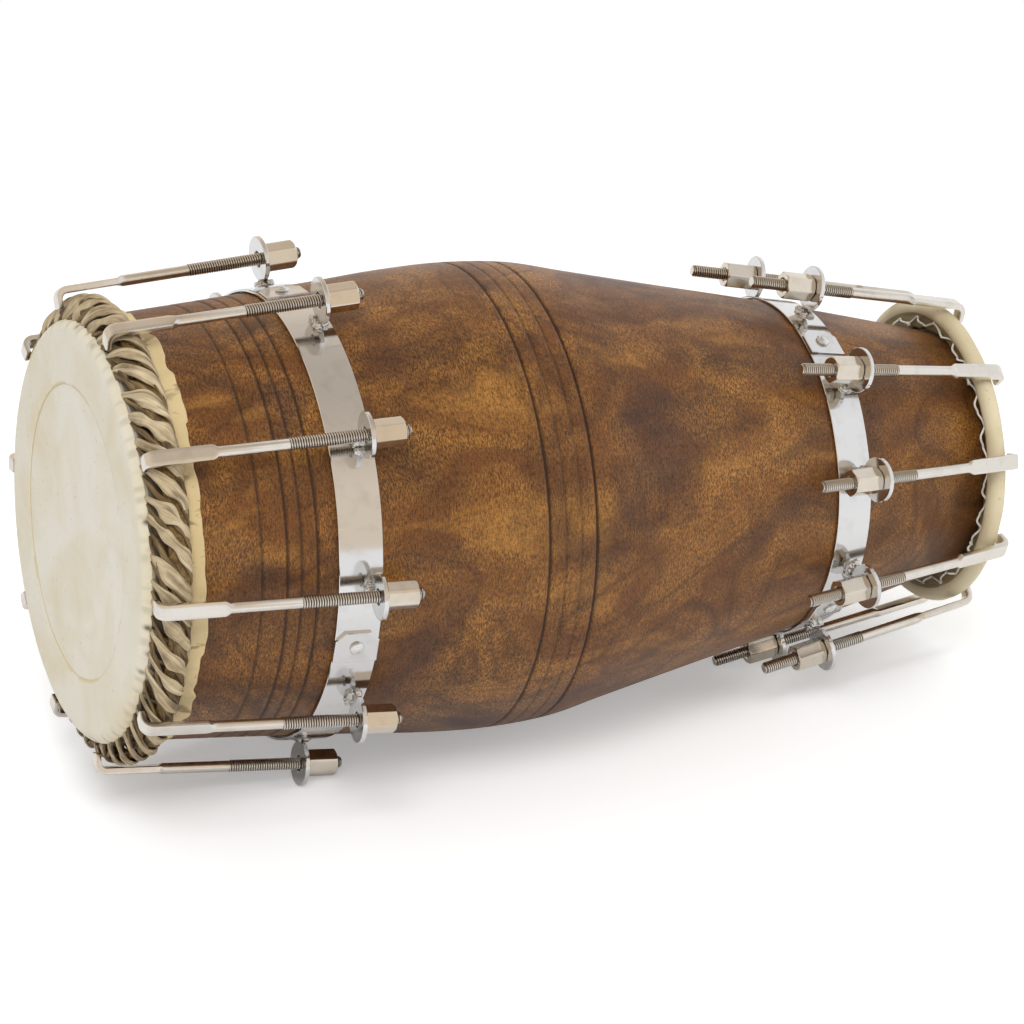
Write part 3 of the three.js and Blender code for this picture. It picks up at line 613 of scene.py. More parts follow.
def set_attribute(piece, name, function, space=None):
    """Writes one number for each vertex, worked out from its x, radius and angle in the drum's space, or from its
    x, y and z in a bolt's."""
    flat = np.empty(len(piece.data.vertices) * 3, np.float32)
    piece.data.vertices.foreach_get("co", flat)
    x, y, z = placed(flat.reshape(-1, 3), np.linalg.inv(SPACE if space is None else space)).T
    values = function(x, np.hypot(y, z), np.arctan2(-y, z)) if space is None else function(x, y, z)
    layer = piece.data.attributes.new(name, "FLOAT", "POINT")
    layer.data.foreach_set("value", np.asarray(values, np.float32))


# Pieces


def lay_floor(context):
    """The pale floor, which keeps the drum's soft shadow and is plain white further out."""
    reach = 30.0
    mesh = bpy.data.meshes.new("floor")
    corners = [(-reach, -reach, 0), (reach, -reach, 0), (reach, reach, 0), (-reach, reach, 0)]
    mesh.from_pydata(corners, [], [(0, 1, 2, 3)])
    floor = bpy.data.objects.new("floor", mesh)
    context.scene.collection.objects.link(floor)
    material, tree, shader = new_material("pale_floor")
    # where it is seen it has a little light of its own, so that it is white but for the shadow
    seen, mirrored = seen_rays(tree)
    share = add_node(tree, "Math", {0: mirrored, 1: -0.25, 2: 0.3}, {"operation": "MULTIPLY_ADD"})
    inputs = {
        "Base Color": linear("#F4F4F4"),
        "Roughness": 0.9,
        "Specular IOR Level": 0.0,
        "Emission Color": grey(1.0),
        "Emission Strength": add_node(tree, "Math", {0: seen, 1: share}, {"operation": "MULTIPLY"}),
    }
    set_inputs(tree, shader, inputs)
    place = add_node(tree, "TexCoord", {}, output="Object")
    distance = add_node(tree, "VectorMath", {0: place}, {"operation": "LENGTH"}, "Value")
    far = add_node(tree, "MapRange", {"Value": distance, "From Min": 0.35, "From Max": 0.9})
    far_and_seen = add_node(tree, "Math", {0: far, 1: seen}, {"operation": "MULTIPLY"})
    white = add_node(tree, "Emission", {})
    blend = add_node(tree, "MixShader", {0: far_and_seen, 1: shader.outputs[0], 2: white})
    set_inputs(tree, tree.nodes["Material Output"], {"Surface": blend})
    mesh.materials.append(material)


def light_room(context):
    """The studio: a white background, plain soft light, and what metal mirrors: a white room with a warm card in front
    and to the left, dimmer towards the ceiling."""
    world = bpy.data.worlds.new("studio")
    context.scene.world = world
    world.use_nodes = True
    tree = world.node_tree
    seen, mirrored = seen_rays(tree)
    direction = add_node(tree, "TexCoord", {}, output="Generated")
    x, _, z = add_node(tree, "SeparateXYZ", {"Vector": direction}, output=None)[:3]
    card = add_node(tree, "MapRange", {"Value": x, "From Min": 0.3, "From Max": 0.55})
    heights = {"Value": z, "From Min": 0.5, "From Max": 0.95, "To Min": 1.0, "To Max": 0.65}
    ceiling = add_node(tree, "MapRange", heights)
    warm_card = (0.84, 0.715, 0.58, 1.0)
    room = add_node(tree, "Mix", {SHARE: card, FIRST: warm_card, SECOND: grey(1.0)}, BLEND, MIXED)
    dimmed = add_node(tree, "Mix", {SHARE: 1.0, FIRST: room, SECOND: ceiling}, SHADE, MIXED)
    inputs = {
        "Color": add_node(tree, "Mix", {SHARE: mirrored, FIRST: grey(1.0), SECOND: dimmed}, BLEND, MIXED),
        "Strength": add_node(tree, "MapRange", {"Value": seen, "To Min": 0.55, "To Max": 1.0}),
    }
    set_inputs(tree, tree.nodes["Background"], inputs)


# name, place and size in metres, and power of each lamp, and the point that all of them face
LAMPS = (
    ("key", (-0.9, -1.6, 2.2), 1.2, 34.0),
    ("fill", (1.6, -1.4, 1.0), 1.0, 10.0),
    ("back", (0.2, 1.6, 1.8), 1.4, 14.0),
)
DRUM_MIDDLE = Vector((0, 0, 0.12))


def hang_lamps(context):
    """The lamps. Metal mirrors the room and not them, because their faces would clip to white."""
    for name, place, size, power in LAMPS:
        lamp = bpy.data.lights.new(name, "AREA")
        lamp.size = size
        lamp.energy = power
        holder = bpy.data.objects.new(name, lamp)
        context.scene.collection.objects.link(holder)
        holder.visible_glossy = False
        holder.location = place
        holder.rotation_euler = (DRUM_MIDDLE - holder.location).to_track_quat("-Z", "Y").to_euler()


# the photograph's camera in the drum's space: its place, the ways to the right and down its picture go, and its lens
CAMERA_PLACE = (-609.5, -1796.5, 798.4)
CAMERA_RIGHT = (0.91556, -0.39610, 0.06964)
CAMERA_DOWN = (-0.09150, -0.37378, -0.92298)
CAMERA_LENS = 147.2


def set_camera(context):
    """The camera at the photograph's viewing angle."""
    lens = bpy.data.cameras.new("camera")
    lens.sensor_width = 36.0
    lens.lens = CAMERA_LENS
    lens.clip_end = 100.0
    camera = bpy.data.objects.new("camera", lens)
    context.scene.collection.objects.link(camera)
    context.scene.camera = camera
    turn = SPACE[:3, :3] / MM
    right, down = turn @ CAMERA_RIGHT, turn @ CAMERA_DOWN
    matrix = np.eye(4)
    matrix[:3, :3] = np.column_stack((right, -down, -np.cross(right, down)))
    matrix[:3, 3] = placed(np.array(CAMERA_PLACE), SPACE)
    camera.matrix_world = Matrix(matrix.tolist())


class NAAL_OT_stage(bpy.types.Operator):
    """Lays the pale floor, the soft studio light and the camera"""

    bl_idname = "naal.stage"
    bl_label = "Stage"

    def execute(self, context):
        lay_floor(context)
        light_room(context)
        hang_lamps(context)
        set_camera(context)
        context.scene.view_settings.view_transform = "Standard"
        return {"FINISHED"}


class NAAL_OT_shell(bpy.types.Operator):
    """Turns the hollow shell with its grooves"""

    bl_idname = "naal.shell"
    bl_label = "Shell"

    def execute(self, context):
        sizes = context.scene.naal.shell
        # the outer side between its two rounded edges, with closer rings across each groove
        start, end = 3.9, 472.0
        across = [place + np.linspace(-1.6, 1.6, 13) for place, _ in GROOVES]
        x = np.unique(np.concatenate([np.linspace(start, end, 300), *across]).round(3))
        r = shell_radius(x) - sizes.groove_depth * grooves(x, sizes.groove_width / 2.4)
        edge = np.radians(np.linspace(0, 85, 9))
        bass = np.stack((start - 7 * np.cos(edge), shell_radius(start) - 7 * (1 - np.sin(edge))), 1)
        treble = np.stack((end + 3.5 * np.sin(edge), shell_radius(end) - 4.3 * (1 - np.cos(edge))), 1)
        hollow = [(475.5, 53), (400, 70), (258, 97.6), (203, 105.4), (131, 101), (60, 96), (-3.1, 92), (-3.1, 95)]
        profile = np.concatenate((bass, np.stack((x, r), 1), treble, hollow))
        piece = surface("shell_turned", turned(profile, 320), DRUM_BODY, finish_of("wood"), (True, True))
        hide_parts("shell")

        def dark(px, pr, pt):
            """How dark the grooves are: their depth on the outer side, and nought inside."""
            return np.clip(grooves(px, sizes.groove_width / 2.6), 0, 1) * (pr > shell_radius(px) - 6)

        set_attribute(piece, "groove", dark)
        return {"FINISHED"}


def bass_side_radius(x):
    """Radius of the bass skin's outer face where it lies on the shell."""
    return shell_radius(x) + 1.2


class NAAL_OT_bass_head(bpy.types.Operator):
    """Lays the bass skin with its torn skirt, and the second layer on its rim"""

    bl_idname = "naal.bass_head"
    bl_label = "Bass head"

    def execute(self, context):
        sizes = context.scene.naal.heads
        t = np.linspace(0, 2 * np.pi, 720, endpoint=False)[None, :]
        flaps = np.tanh(6 * waves(t, 13, (5, 7, 12, 17), 0.1) - 2)
        hem = sizes.skirt_end + 0.3 * waves(t, 3, range(5, 70, 4), 0.4) + 0.9 * flaps
        lift = 0.7 * (1 + waves(t, 8, range(7, 40, 2), 0.3) * 0.35)
        # the rim is a quarter of an ellipse about this point, from the face at face_x to the shell's side
        rim_x, rim_r, face_x = 3.7, 97.4, -4.3
        face = np.concatenate((np.linspace(0, 70, 12), np.linspace(74, rim_r, 16)))[:, None]
        turn = np.radians(np.linspace(6, 90, 14))[:, None]
        side = np.linspace(0, 1, 26)[1:, None]
        corner_r = bass_side_radius(rim_x)

        def skin(inset):
            """One side of the skin, so far inside its outer face: x and radius over face, rim and skirt, which flares
            and creases towards its hem."""
            turn_x = rim_x - (rim_x - face_x - inset) * np.cos(turn) + 0 * t
            turn_r = rim_r + (corner_r - inset - rim_r) * np.sin(turn) + 0 * t
            side_x = rim_x + (hem - rim_x) * side
            flare = np.clip((side_x - 16) / 10, 0, 1) ** 1.3
            creases = waves(t, 21, range(11, 70, 4), 0.2) * 0.4
            side_r = bass_side_radius(side_x) - inset + flare * (lift + creases)
            return (
                np.concatenate((face_x + inset + 0 * face * t, turn_x, side_x)),
                np.concatenate((face + 0 * t, turn_r, side_r)),
            )

        (outer_x, outer_r), (inner_x, inner_r) = skin(0.0), skin(0.8)
        x = np.concatenate((outer_x, inner_x[::-1]))
        r = np.concatenate((outer_r, inner_r[::-1]))
        piece = surface("bass_skin", round_drum(x, r, t), DRUM_BODY, finish_of("bass"), (False, True))
        second_finish(piece, "skirt", lambda px, pr: px > 4)
        holes = round_holes(sizes.plait_turns)
        # deeper in colour towards the corner under the plait: the skin's own yellowing, with painted shade beneath the
        # thongs
        set_attribute(piece, "rim", lambda px, pr, pt: 0.8 * np.clip((pr - 97) / 12, 0, 1) ** 2 * (px < 12))
        # dark brown stains and drips, with painted shade in the thongs' holes and under the plait
        set_attribute(piece, "stain", holes)
        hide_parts("bass_head_skin")

        # the second layer: a flat ring that feathers out at its inner edge, and goes 60 degrees round the rim
        inner = sizes.rim_layer_radius + 0.25 * waves(t, 5, range(2, 30), 0.7)
        share = np.concatenate(([0.0, 0.03, 0.08, 0.3, 0.6], np.linspace(0.72, 1, 14)))[:, None]
        layer_r = rim_r + 0.8
        top_r = inner + (layer_r - inner) * share
        top_x = -4.6 - 0.4 * np.clip((top_r - inner) / 1.2, 0, 1)
        over = np.radians(np.linspace(5, 60, 16))[:, None]
        over_x = rim_x - 8.7 * np.cos(over) + 0 * t
        over_r = layer_r + (corner_r + 0.5 - layer_r) * np.sin(over) + 0 * t
        back_x, back_r = over_x[::-1] + 0.4, over_r[::-1] - 0.3
        x = np.concatenate((top_x, over_x, back_x, top_x[::-1] * 0 - 4.35))
        r = np.concatenate((top_r, over_r, back_r, top_r[::-1]))
        layer = surface("bass_rim_layer", round_drum(x, r, t), DRUM_BODY, finish_of("bass"), (True, True))
        set_attribute(
            layer, "rim", lambda px, pr, pt: 0.1 + 0.9 * (pr < 73.6) + 0.4 * np.clip((pr - 96) / 8, 0, 1) ** 2
        )
        set_attribute(layer, "stain", holes)
        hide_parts("bass_kinar_layer")
        refinish("bass_inner_paste", "masala")
        refinish("bass_hoop", "cane")
        return {"FINISHED"}


def round_holes(turns, seed=5):
    """The dark mark's strength at each point of the rim: bells about 2 mm across at the holes of the thongs, some
    strong and some faint, painted shade in the holes with their brown specks; faint drips of stain between them; and
    painted shade under the plait."""
    hole_r, drip_r, reach = 103.4, 102.5, 1.3
    dice = np.random.default_rng(seed)
    strong = dice.uniform(0.0, 1.0, turns) ** 4
    place = dice.normal(0, 0.8, turns)

    def stain(px, pr, pt):
        """Spots and drips on the face, and a dark band under the plait, which is painted shade."""
        pitch = pt * turns / (2 * np.pi)
        hole = np.round(pitch).astype(int) % turns
        across = (pitch - np.round(pitch)) * 2 * np.pi * 100 / turns - place[hole]
        spots = strong[hole] * np.exp(-((across / reach) ** 2) - ((pr - hole_r - place[hole]) / reach) ** 2)
        drips = 0.1 * np.clip(waves(pt, 9, range(21, 160, 7), 0.1), 0, 2) * np.exp(-(((pr - drip_r) / 2.5) ** 2))
        below = 0.85 * np.clip((px + 0.6) / 1.6, 0, 1) * np.clip((17.5 - px) / 2, 0, 1)
        return np.clip(spots + drips, 0, 0.9) * (px < 1) + below * (px + 0.6 > 0)

    return stain


THONG_PATH = (
    (-0.6, 104.4), (1.8, 109.2), (5.4, 112.9), (10.2, 114.3), (14.6, 112.6), (16.4, 108.9), (12.5, 105.9),
    (6.0, 105.0), (1.5, 104.2),
)  # fmt: skip


def closed_path(knots, turn):
    """The points at a share of a turn along the closed Catmull-Rom curve through the knots."""
    knots = np.asarray(knots, float)
    count = len(knots)
    number = np.floor(turn * count).astype(int)
    s = (turn * count - number)[:, None]
    a, b, c, d = (knots[(number + i) % count] for i in (-1, 0, 1, 2))
    return 0.5 * (2 * b + (c - a) * s + (2 * a - 5 * b + 4 * c - d) * s**2 + (3 * b - a - 3 * c + d) * s**3)


def thong(turns, steps, start, half_width, half_thickness, lift, cross, seed, sides):
    """A flat thong wound round the hoop. From its hole in the rim it goes over the hoop to the skirt and crosses a
    number of pitches on the way; under the hoop it comes back to one pitch from where it began. Its width, lift and
    lie vary by seeded waves from turn to turn, and it is narrow at its ends and below."""
    hoop_x, hoop_r, over = 10.6, 108.0, 5 / 9
    count = turns * steps
    s = np.arange(count) / steps
    dice = np.random.default_rng(seed)
    jitter = np.interp(s % turns, np.arange(turns + 1), np.append(dice.normal(0, 0.15, turns), 0))
    out = np.clip((s % 1) / over, 0, 1)
    back = np.clip((s % 1 - over) / (1 - over), 0, 1)
    angle = 2 * np.pi * (np.floor(s) + start + jitter + cross * out - (cross - 1) * back**2 * (3 - 2 * back)) / turns
    wander = 0.12 * waves(angle, seed, range(3, 90, 7), 0.1)
    section = closed_path(THONG_PATH, s % 1)
    x = section[:, 0] + 0.6 * wander
    r = section[:, 1] + (lift + wander) * np.sin(np.pi * out) ** 0.6
    low = np.clip((0.5 - 0.5 * np.cos(angle) - 0.45) / 0.3, 0, 1)
    front = np.sin(np.pi * out) ** 0.6 * (1 - 0.4 * low)
    centre = round_drum(x, r, angle)
    tangent = np.roll(centre, -1, 0) - np.roll(centre, 1, 0)
    tangent /= np.linalg.norm(tangent, axis=1)[:, None]
    outward = centre - round_drum(np.full(count, hoop_x), hoop_r, angle)
    outward -= tangent * (outward * tangent).sum(1)[:, None]
    outward /= np.linalg.norm(outward, axis=1)[:, None]
    side = np.cross(tangent, outward)
    twist = 0.12 * waves(angle, seed + 3, range(5, 60, 5), 0.1)
    a = np.linspace(0, 2 * np.pi, sides, endpoint=False)
    width = half_width * (0.36 + 0.64 * front) * (1 + 0.1 * waves(angle, seed + 5, range(9, 80, 6), 0.0))
    width, c, d = width[:, None, None], np.cos(a)[None, :, None], np.sin(a)[None, :, None]
    lie_side = side * np.cos(twist)[:, None] + outward * np.sin(twist)[:, None]
    lie_out = outward * np.cos(twist)[:, None] - side * np.sin(twist)[:, None]
    thickness = d * half_thickness - 0.07 * width * c**2
    return centre[:, None, :] + lie_side[:, None, :] * c * width + lie_out[:, None, :] * thickness


class NAAL_OT_plait(bpy.types.Operator):
    """Winds the rawhide plait round the bass hoop"""

    bl_idname = "naal.plait"
    bl_label = "Plait"

    def execute(self, context):
        turns = context.scene.naal.heads.plait_turns
        wide = thong(
            turns, steps=48, start=0.0, half_width=3.7, half_thickness=0.95, lift=0.8, cross=1.8, seed=31, sides=12
        )
        piece = surface("bass_plait", wide, DRUM_BODY, finish_of("thong"), (True, True), (turns * 62.0, 18.0))
        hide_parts("bass_lacing")
        # below it a narrow one that slants more, and two runners that go round the drum in a few long turns
        narrow = thong(
            turns, steps=40, start=0.45, half_width=2.0, half_thickness=0.8, lift=-0.2, cross=3.0, seed=47, sides=8
        )
        runner = {"steps": 360, "half_width": 2.2, "half_thickness": 0.9, "lift": -0.4, "cross": 1.0, "sides": 8}
        runners = [thong(number, start=start, seed=number, **runner) for number, start in ((7, 0.3), (9, 0.6))]
        # the thongs beneath the wide one take the darker copy of the hide as painted shade
        under = surface(
            "bass_plait_under", [narrow, *runners], DRUM_BODY, finish_of("under_thong"), (True, True),
            (turns * 70.0, 10.0),
        )  # fmt: skip
        return {"FINISHED"}


class NAAL_OT_treble_head(bpy.types.Operator):
    """Rolls the treble skin round its iron ring, sews it behind and lays the black spot"""

    bl_idname = "naal.treble_head"
    bl_label = "Treble head"

    def execute(self, context):
        t = np.linspace(0, 2 * np.pi, 400, endpoint=False)[None, :]
        face = np.linspace(0, 60, 14)[:, None]
        ring_x, ring_r, roll = 468.4, 76.0, 4.6
        spread = 1 + 0 * t
        edge_x, edge_r = 476.2, 62.0
        around = np.radians(np.linspace(-52, 232, 40))[:, None]
        bulge = roll + 0.12 * waves(t, 6, range(3, 30), 0.6)
        roll_x = ring_x + bulge * np.cos(around)
        roll_r = ring_r + bulge * np.sin(around)
        hem = 65.4 + 0.8 * waves(t, 17, range(3, 50, 2), 0.4) * 0.5
        back = np.linspace(0, 1, 12)[1:, None]
        start_x, start_r = roll_x[-1:], roll_r[-1:]
        back_x = start_x + (468.6 - start_x) * back**0.8
        back_r = start_r + (hem - start_r) * back
        front = np.linspace(0, 1, 8)[1:-1, None]
        slope_x = edge_x + (roll_x[:1] - edge_x) * front
        slope_r = edge_r + (roll_r[:1] - edge_r) * front
        outer_x = np.concatenate((476.6 + 0 * face * t, slope_x, roll_x, back_x))
        outer_r = np.concatenate((face * spread, slope_r, roll_r, back_r))
        inside_x = np.concatenate((back_x[::-1] + 0.7, 472.4 * spread, 475.9 * spread, 475.9 * spread))
        inside_r = np.concatenate((back_r[::-1] - 0.2, 64.0 * spread, 60.4 * spread, 0 * spread))
        x = np.concatenate((outer_x, inside_x))
        r = np.concatenate((outer_r, inside_r))
        piece = surface("treble_skin", round_drum(x, r, t), DRUM_BODY, finish_of("treble"), (False, True))
        # the sewn edge behind the roll takes the darker copy of the skin: painted shade
        second_finish(piece, "flange", lambda px, pr: (pr < 73.5) & (px < 471.5))
        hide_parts("treble_head_skin")
        refinish("treble_iron_ring", "chrome")

        # the thread: half a stitch in and half out, some pulled in under the roll
        stitches = 24
        s = np.arange(stitches * 24) / 24
        dice = np.random.default_rng(4)
        loose = np.interp(s, np.arange(stitches * 2 + 1) / 2, np.append(dice.normal(0, 0.5, stitches * 2), 0))
        angle = 2 * np.pi * (s + 0.12 * loose) / stitches
        zigzag = np.abs((s % 1) * 2 - 1)
        drawn_in = dice.choice((0.0, 2.4), stitches * 2)[np.floor(2 * s).astype(int)] * np.sin(2 * np.pi * s) ** 2
        r = 67.6 + 4.2 * zigzag + 0.6 * loose
        x = 465.8 + (ring_r - r) * -0.12 + 1.0 * np.cos(2 * np.pi * s * 2) + drawn_in
        path = round_drum(x, r, angle)
        sewn = surface("treble_stitches", tube(path, radius=0.6, sides=6), DRUM_BODY, finish_of("thread"), (True, True))
        knot = np.array((0.9, 1.3, 1.3))
        knots = [bead(knot, i, rows=8, columns=10) + path[i * 12] for i in range(0, stitches * 2, 5)]
        tied = surface("treble_knots", knots, DRUM_BODY, finish_of("thread"), (False, True))

        edge = 29
        spot_r = np.linspace(0, edge, 24)
        spot_x = 476.7 + 1.8 * (1 - (spot_r / edge) ** 2) ** 0.8 + 0.35
        profile = list(zip(spot_x, spot_r)) + [(476.72, edge + 0.1), (476.72, 0)]
        spot = surface("treble_spot", turned(profile, 128), DRUM_BODY, finish_of("syahi"), (False, True))
        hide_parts("treble_syahi")
        return {"FINISHED"}


def tube(path, radius, sides):
    """A round tube along a closed path: each ring stands square to the path's own direction."""
    tangent = np.roll(path, -1, 0) - np.roll(path, 1, 0)
    tangent /= np.linalg.norm(tangent, axis=1)[:, None]
    side = np.cross(tangent, (1.0, 0.0, 0.0))
    side /= np.linalg.norm(side, axis=1)[:, None] + 1e-12
    up = np.cross(side, tangent)
    a = np.linspace(0, 2 * np.pi, sides, endpoint=False)[None, :, None]
    return path[:, None, :] + radius * (side[:, None, :] * np.cos(a) + up[:, None, :] * np.sin(a))


# where each strip starts and ends along the drum, the angles of its rivets, and its washers' middle: x and radius
BANDS = {
    "bass": {"from_x": 90.0, "to_x": 112.0, "rivets": (-4.9, 102.5, 213.7), "lug_x": 105.0, "lug_r": 127.0},
    "treble": {"from_x": 370.0, "to_x": 390.0, "rivets": (23.2, 125.8, 235.3), "lug_x": 386.0, "lug_r": 100.4},
}
BAND_THICKNESS = 1.4


def band_radius(side, x):
    """A band's inner radius at x: it seats on the shell at its wider edge and stands a little clear at the other."""
    widest = max(float(shell_radius(BANDS[side]["from_x"])), float(shell_radius(BANDS[side]["to_x"])))
    return (shell_radius(x) + 0.3) * 0.75 + (widest + 0.3) * 0.25


def bead(size, seed, rows=20, columns=28):
    """A lumpy weld bead: a ball stretched to a size, its radius swelled by seeded waves."""
    u = np.linspace(0, np.pi, rows)[:, None]
    v = np.linspace(0, 2 * np.pi, columns, endpoint=False)[None, :]
    lump = 1 + 0.14 * waves(3 * v + 2 * u, seed, range(1, 6), 0.4) * np.sin(u) + 0.1 * np.sin(5 * u + seed)
    p = np.stack((np.sin(u) * np.cos(v) * lump, np.cos(u) * lump + 0 * v, np.sin(u) * np.sin(v) * lump), 2)
    return p * size


def washer_ring(radius, hole, thickness):
    """A washer's closed section with its corners clipped, turned about z."""
    e = 0.35
    h = thickness / 2
    profile = [
        (hole, -h + e), (hole + e, -h), (radius - e, -h), (radius, -h + e),
        (radius, h - e), (radius - e, h), (hole + e, h), (hole, h - e),
    ]  # fmt: skip
    profile = np.array(profile)
    return round_rod(profile[:, :1], profile[:, 1:], np.linspace(0, 2 * np.pi, 64, endpoint=False))


def rivet_head():
    """A rivet's head: a profile of (radius, height) that is upset into a flange and a dome, turned about z."""
    profile = [
        (0, 1.2), (2.9, 1.2), (3.5, 1.8), (3.5, 2.3), (2.8, 3.0), (2.2, 2.8), (1.7, 3.3), (0.8, 3.5), (0, 3.5),
    ]  # fmt: skip
    profile = np.array(profile)
    return round_rod(profile[:, :1], profile[:, 1:], np.linspace(0, 2 * np.pi, 48, endpoint=False))


def rivet_frame(side, angle):
    """The 4x4 of a rivet: z outwards, x along the drum, at the middle of the band's outer face; mm to row."""
    band = BANDS[side]
    x = (band["from_x"] + band["to_x"]) / 2
    r = float(band_radius(side, x)) + BAND_THICKNESS
    lean = math.atan2(
        float(band_radius(side, band["from_x"]) - band_radius(side, band["to_x"])), band["to_x"] - band["from_x"]
    )
    t = math.radians(angle)
    outward = np.array((0.0, -math.sin(t), math.cos(t)))
    along = np.array((1.0, 0.0, 0.0))
    z = outward * math.cos(lean) + along * math.sin(lean)
    x_axis = along * math.cos(lean) - outward * math.sin(lean)
    matrix = np.eye(4)
    matrix[:3, :3] = np.column_stack((x_axis, np.cross(z, x_axis), z))
    matrix[:3, 3] = outward * r + along * x
    return SPACE @ matrix


def lap_plate(width, length_, chamfer, thickness):
    """The strip's lapped end: an outline with two clipped corners, lofted from the band to a worn upper edge."""
    w, h, c = width / 2, length_ / 2, chamfer
    corners = np.array([(-w, -h), (w, -h), (w, h - c), (w - c, h), (c - w, h), (-w, h - c)])
    steps = np.linspace(0, 1, 12, endpoint=False)[:, None]
    outline = np.concatenate([a + (b - a) * steps for a, b in zip(corners, np.roll(corners, -1, 0))])
    sunk, worn = -1.2, 1 - 0.3 / min(w, h)
    levels = [(sunk, 0), (sunk, 1), (0, 1), (thickness - 0.3, 1), (thickness, worn), (thickness, 0)]
    return np.stack([np.column_stack((outline * share, np.full(len(outline), z))) for z, share in levels])


def weld_beads(dice, drop):
    """Six lumpy beads, three on each side of a washer's foot, where it meets the band."""
    lumps = []
    for z in (-1.9, 1.9):
        for x in (-2.6, 0.4, 3.0):
            size = np.array((2.3, 1.9, 1.9)) * dice.uniform(0.85, 1.2, 3)
            place = (x + dice.normal(0, 0.4), 0.9 - drop + dice.normal(0, 0.2), z)
            lumps.append(bead(size, int(dice.integers(1, 90))) + place)
    return lumps


class NAAL_OT_bands(bpy.types.Operator):
    """Bends the two steel bands, with their welded washers, lap joints and rivets"""

    bl_idname = "naal.bands"
    bl_label = "Bands"

    def execute(self, context):
        steel = finish_of("chrome")
        for number, (side, band) in enumerate(BANDS.items()):
            # the strip's section: a rectangle with its corners clipped
            e, top, low, high = 0.3, BAND_THICKNESS, band["from_x"], band["to_x"]
            section = [
                (low, e), (low, top - e), (low + e, top), (high - e, top),
                (high, top - e), (high, e), (high - e, 0.0), (low + e, 0.0),
            ]  # fmt: skip
            profile = [(x, float(band_radius(side, x)) + lift) for x, lift in section]

            def uneven(x, r, t, seed=number):
                """Hand bending: the strip wanders along the shell and off it by a tenth of a millimetre or so."""
                return x + 0.12 * waves(t, seed, range(2, 12), 0.5), r + 0.1 * waves(t, seed + 5, range(3, 20), 0.5)

            strip = surface(f"{side}_band_strip", turned(profile, 360, uneven), DRUM_BODY, steel, (True, True))
            smooth_by_angle(strip)
            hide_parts(f"{side}_band")
            for i, (_, matrix) in enumerate(bolt_frames(side)):
                name = f"{side}_washer_{i + 1:02d}"
                ring = washer_ring(radius=11.5, hole=4.1, thickness=2.4)
                washer = surface(name, ring, DRUM_BODY, steel, (True, True), matrix=matrix)
                smooth_by_angle(washer)
                # from the washer's centre down to the band, along the flared washer
                cosine = abs(float(matrix[:3, 2] @ SPACE[:3, 0])) / MM**2
                drop = (band["lug_r"] - float(band_radius(side, band["lug_x"])) - BAND_THICKNESS) / cosine
                beads = weld_beads(np.random.default_rng(100 * number + i), drop)
                name = f"{side}_weld_{i + 1:02d}"
                weld = surface(name, beads, DRUM_BODY, finish_of("weld"), (False, True), matrix=matrix)
            for i, angle in enumerate(band["rivets"]):
                matrix = rivet_frame(side, angle)
                lap = lap_plate(high - low, length_=17.0, chamfer=4.5, thickness=1.3)
                plate = surface(f"{side}_lap_{i + 1}", lap, DRUM_BODY, steel, (False, True), matrix=matrix)
                smooth_by_angle(plate)
                head = surface(f"{side}_rivet_{i + 1}", rivet_head(), DRUM_BODY, steel, (False, True), matrix=matrix)
                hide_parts(f"{side}_band_rivet_{i + 1}")
        return {"FINISHED"}


def smooth_by_angle(piece, angle=32.0):
    """Marks edges sharper than an angle in degrees, so that flats stay flat and rounds stay round."""
    work = bmesh.new()
    work.from_mesh(piece.data)
    limit = math.radians(angle)
    for edge in work.edges:
        edge.smooth = len(edge.link_faces) == 2 and edge.calc_face_angle(0.0) < limit
    for face in work.faces:
        face.smooth = True
    work.to_mesh(piece.data)
    work.free()


# along each rod from its washer's middle: where the thread ends and the strap starts, how far the tip stands out
# behind, the rod's length to its hook, and how far it rises from the drum for each millimetre along
BOLTS = {
    "bass": {"thread_to": 38.5, "strap_from": 72.9, "tip": 21.5, "rod": math.hypot(105, 8.5), "rise": 8.5 / 105},
    "treble": {"thread_to": 23.5, "strap_from": 58.7, "tip": 36.5, "rod": math.hypot(89.6, 16.4), "rise": 16.4 / 89.6},
}
# the rolled thread's depth from crest to root
THREAD_DEPTH = 0.62


def rounded_bar(a, width, thickness, power):
    """A bar's section as a superellipse: angle a, half sizes and a power that squares its corners."""
    c, s = np.cos(a), np.sin(a)
    k = (np.abs(c) ** power + np.abs(s) ** power) ** (-1 / power)
    return c * k * width / 2, s * k * thickness / 2


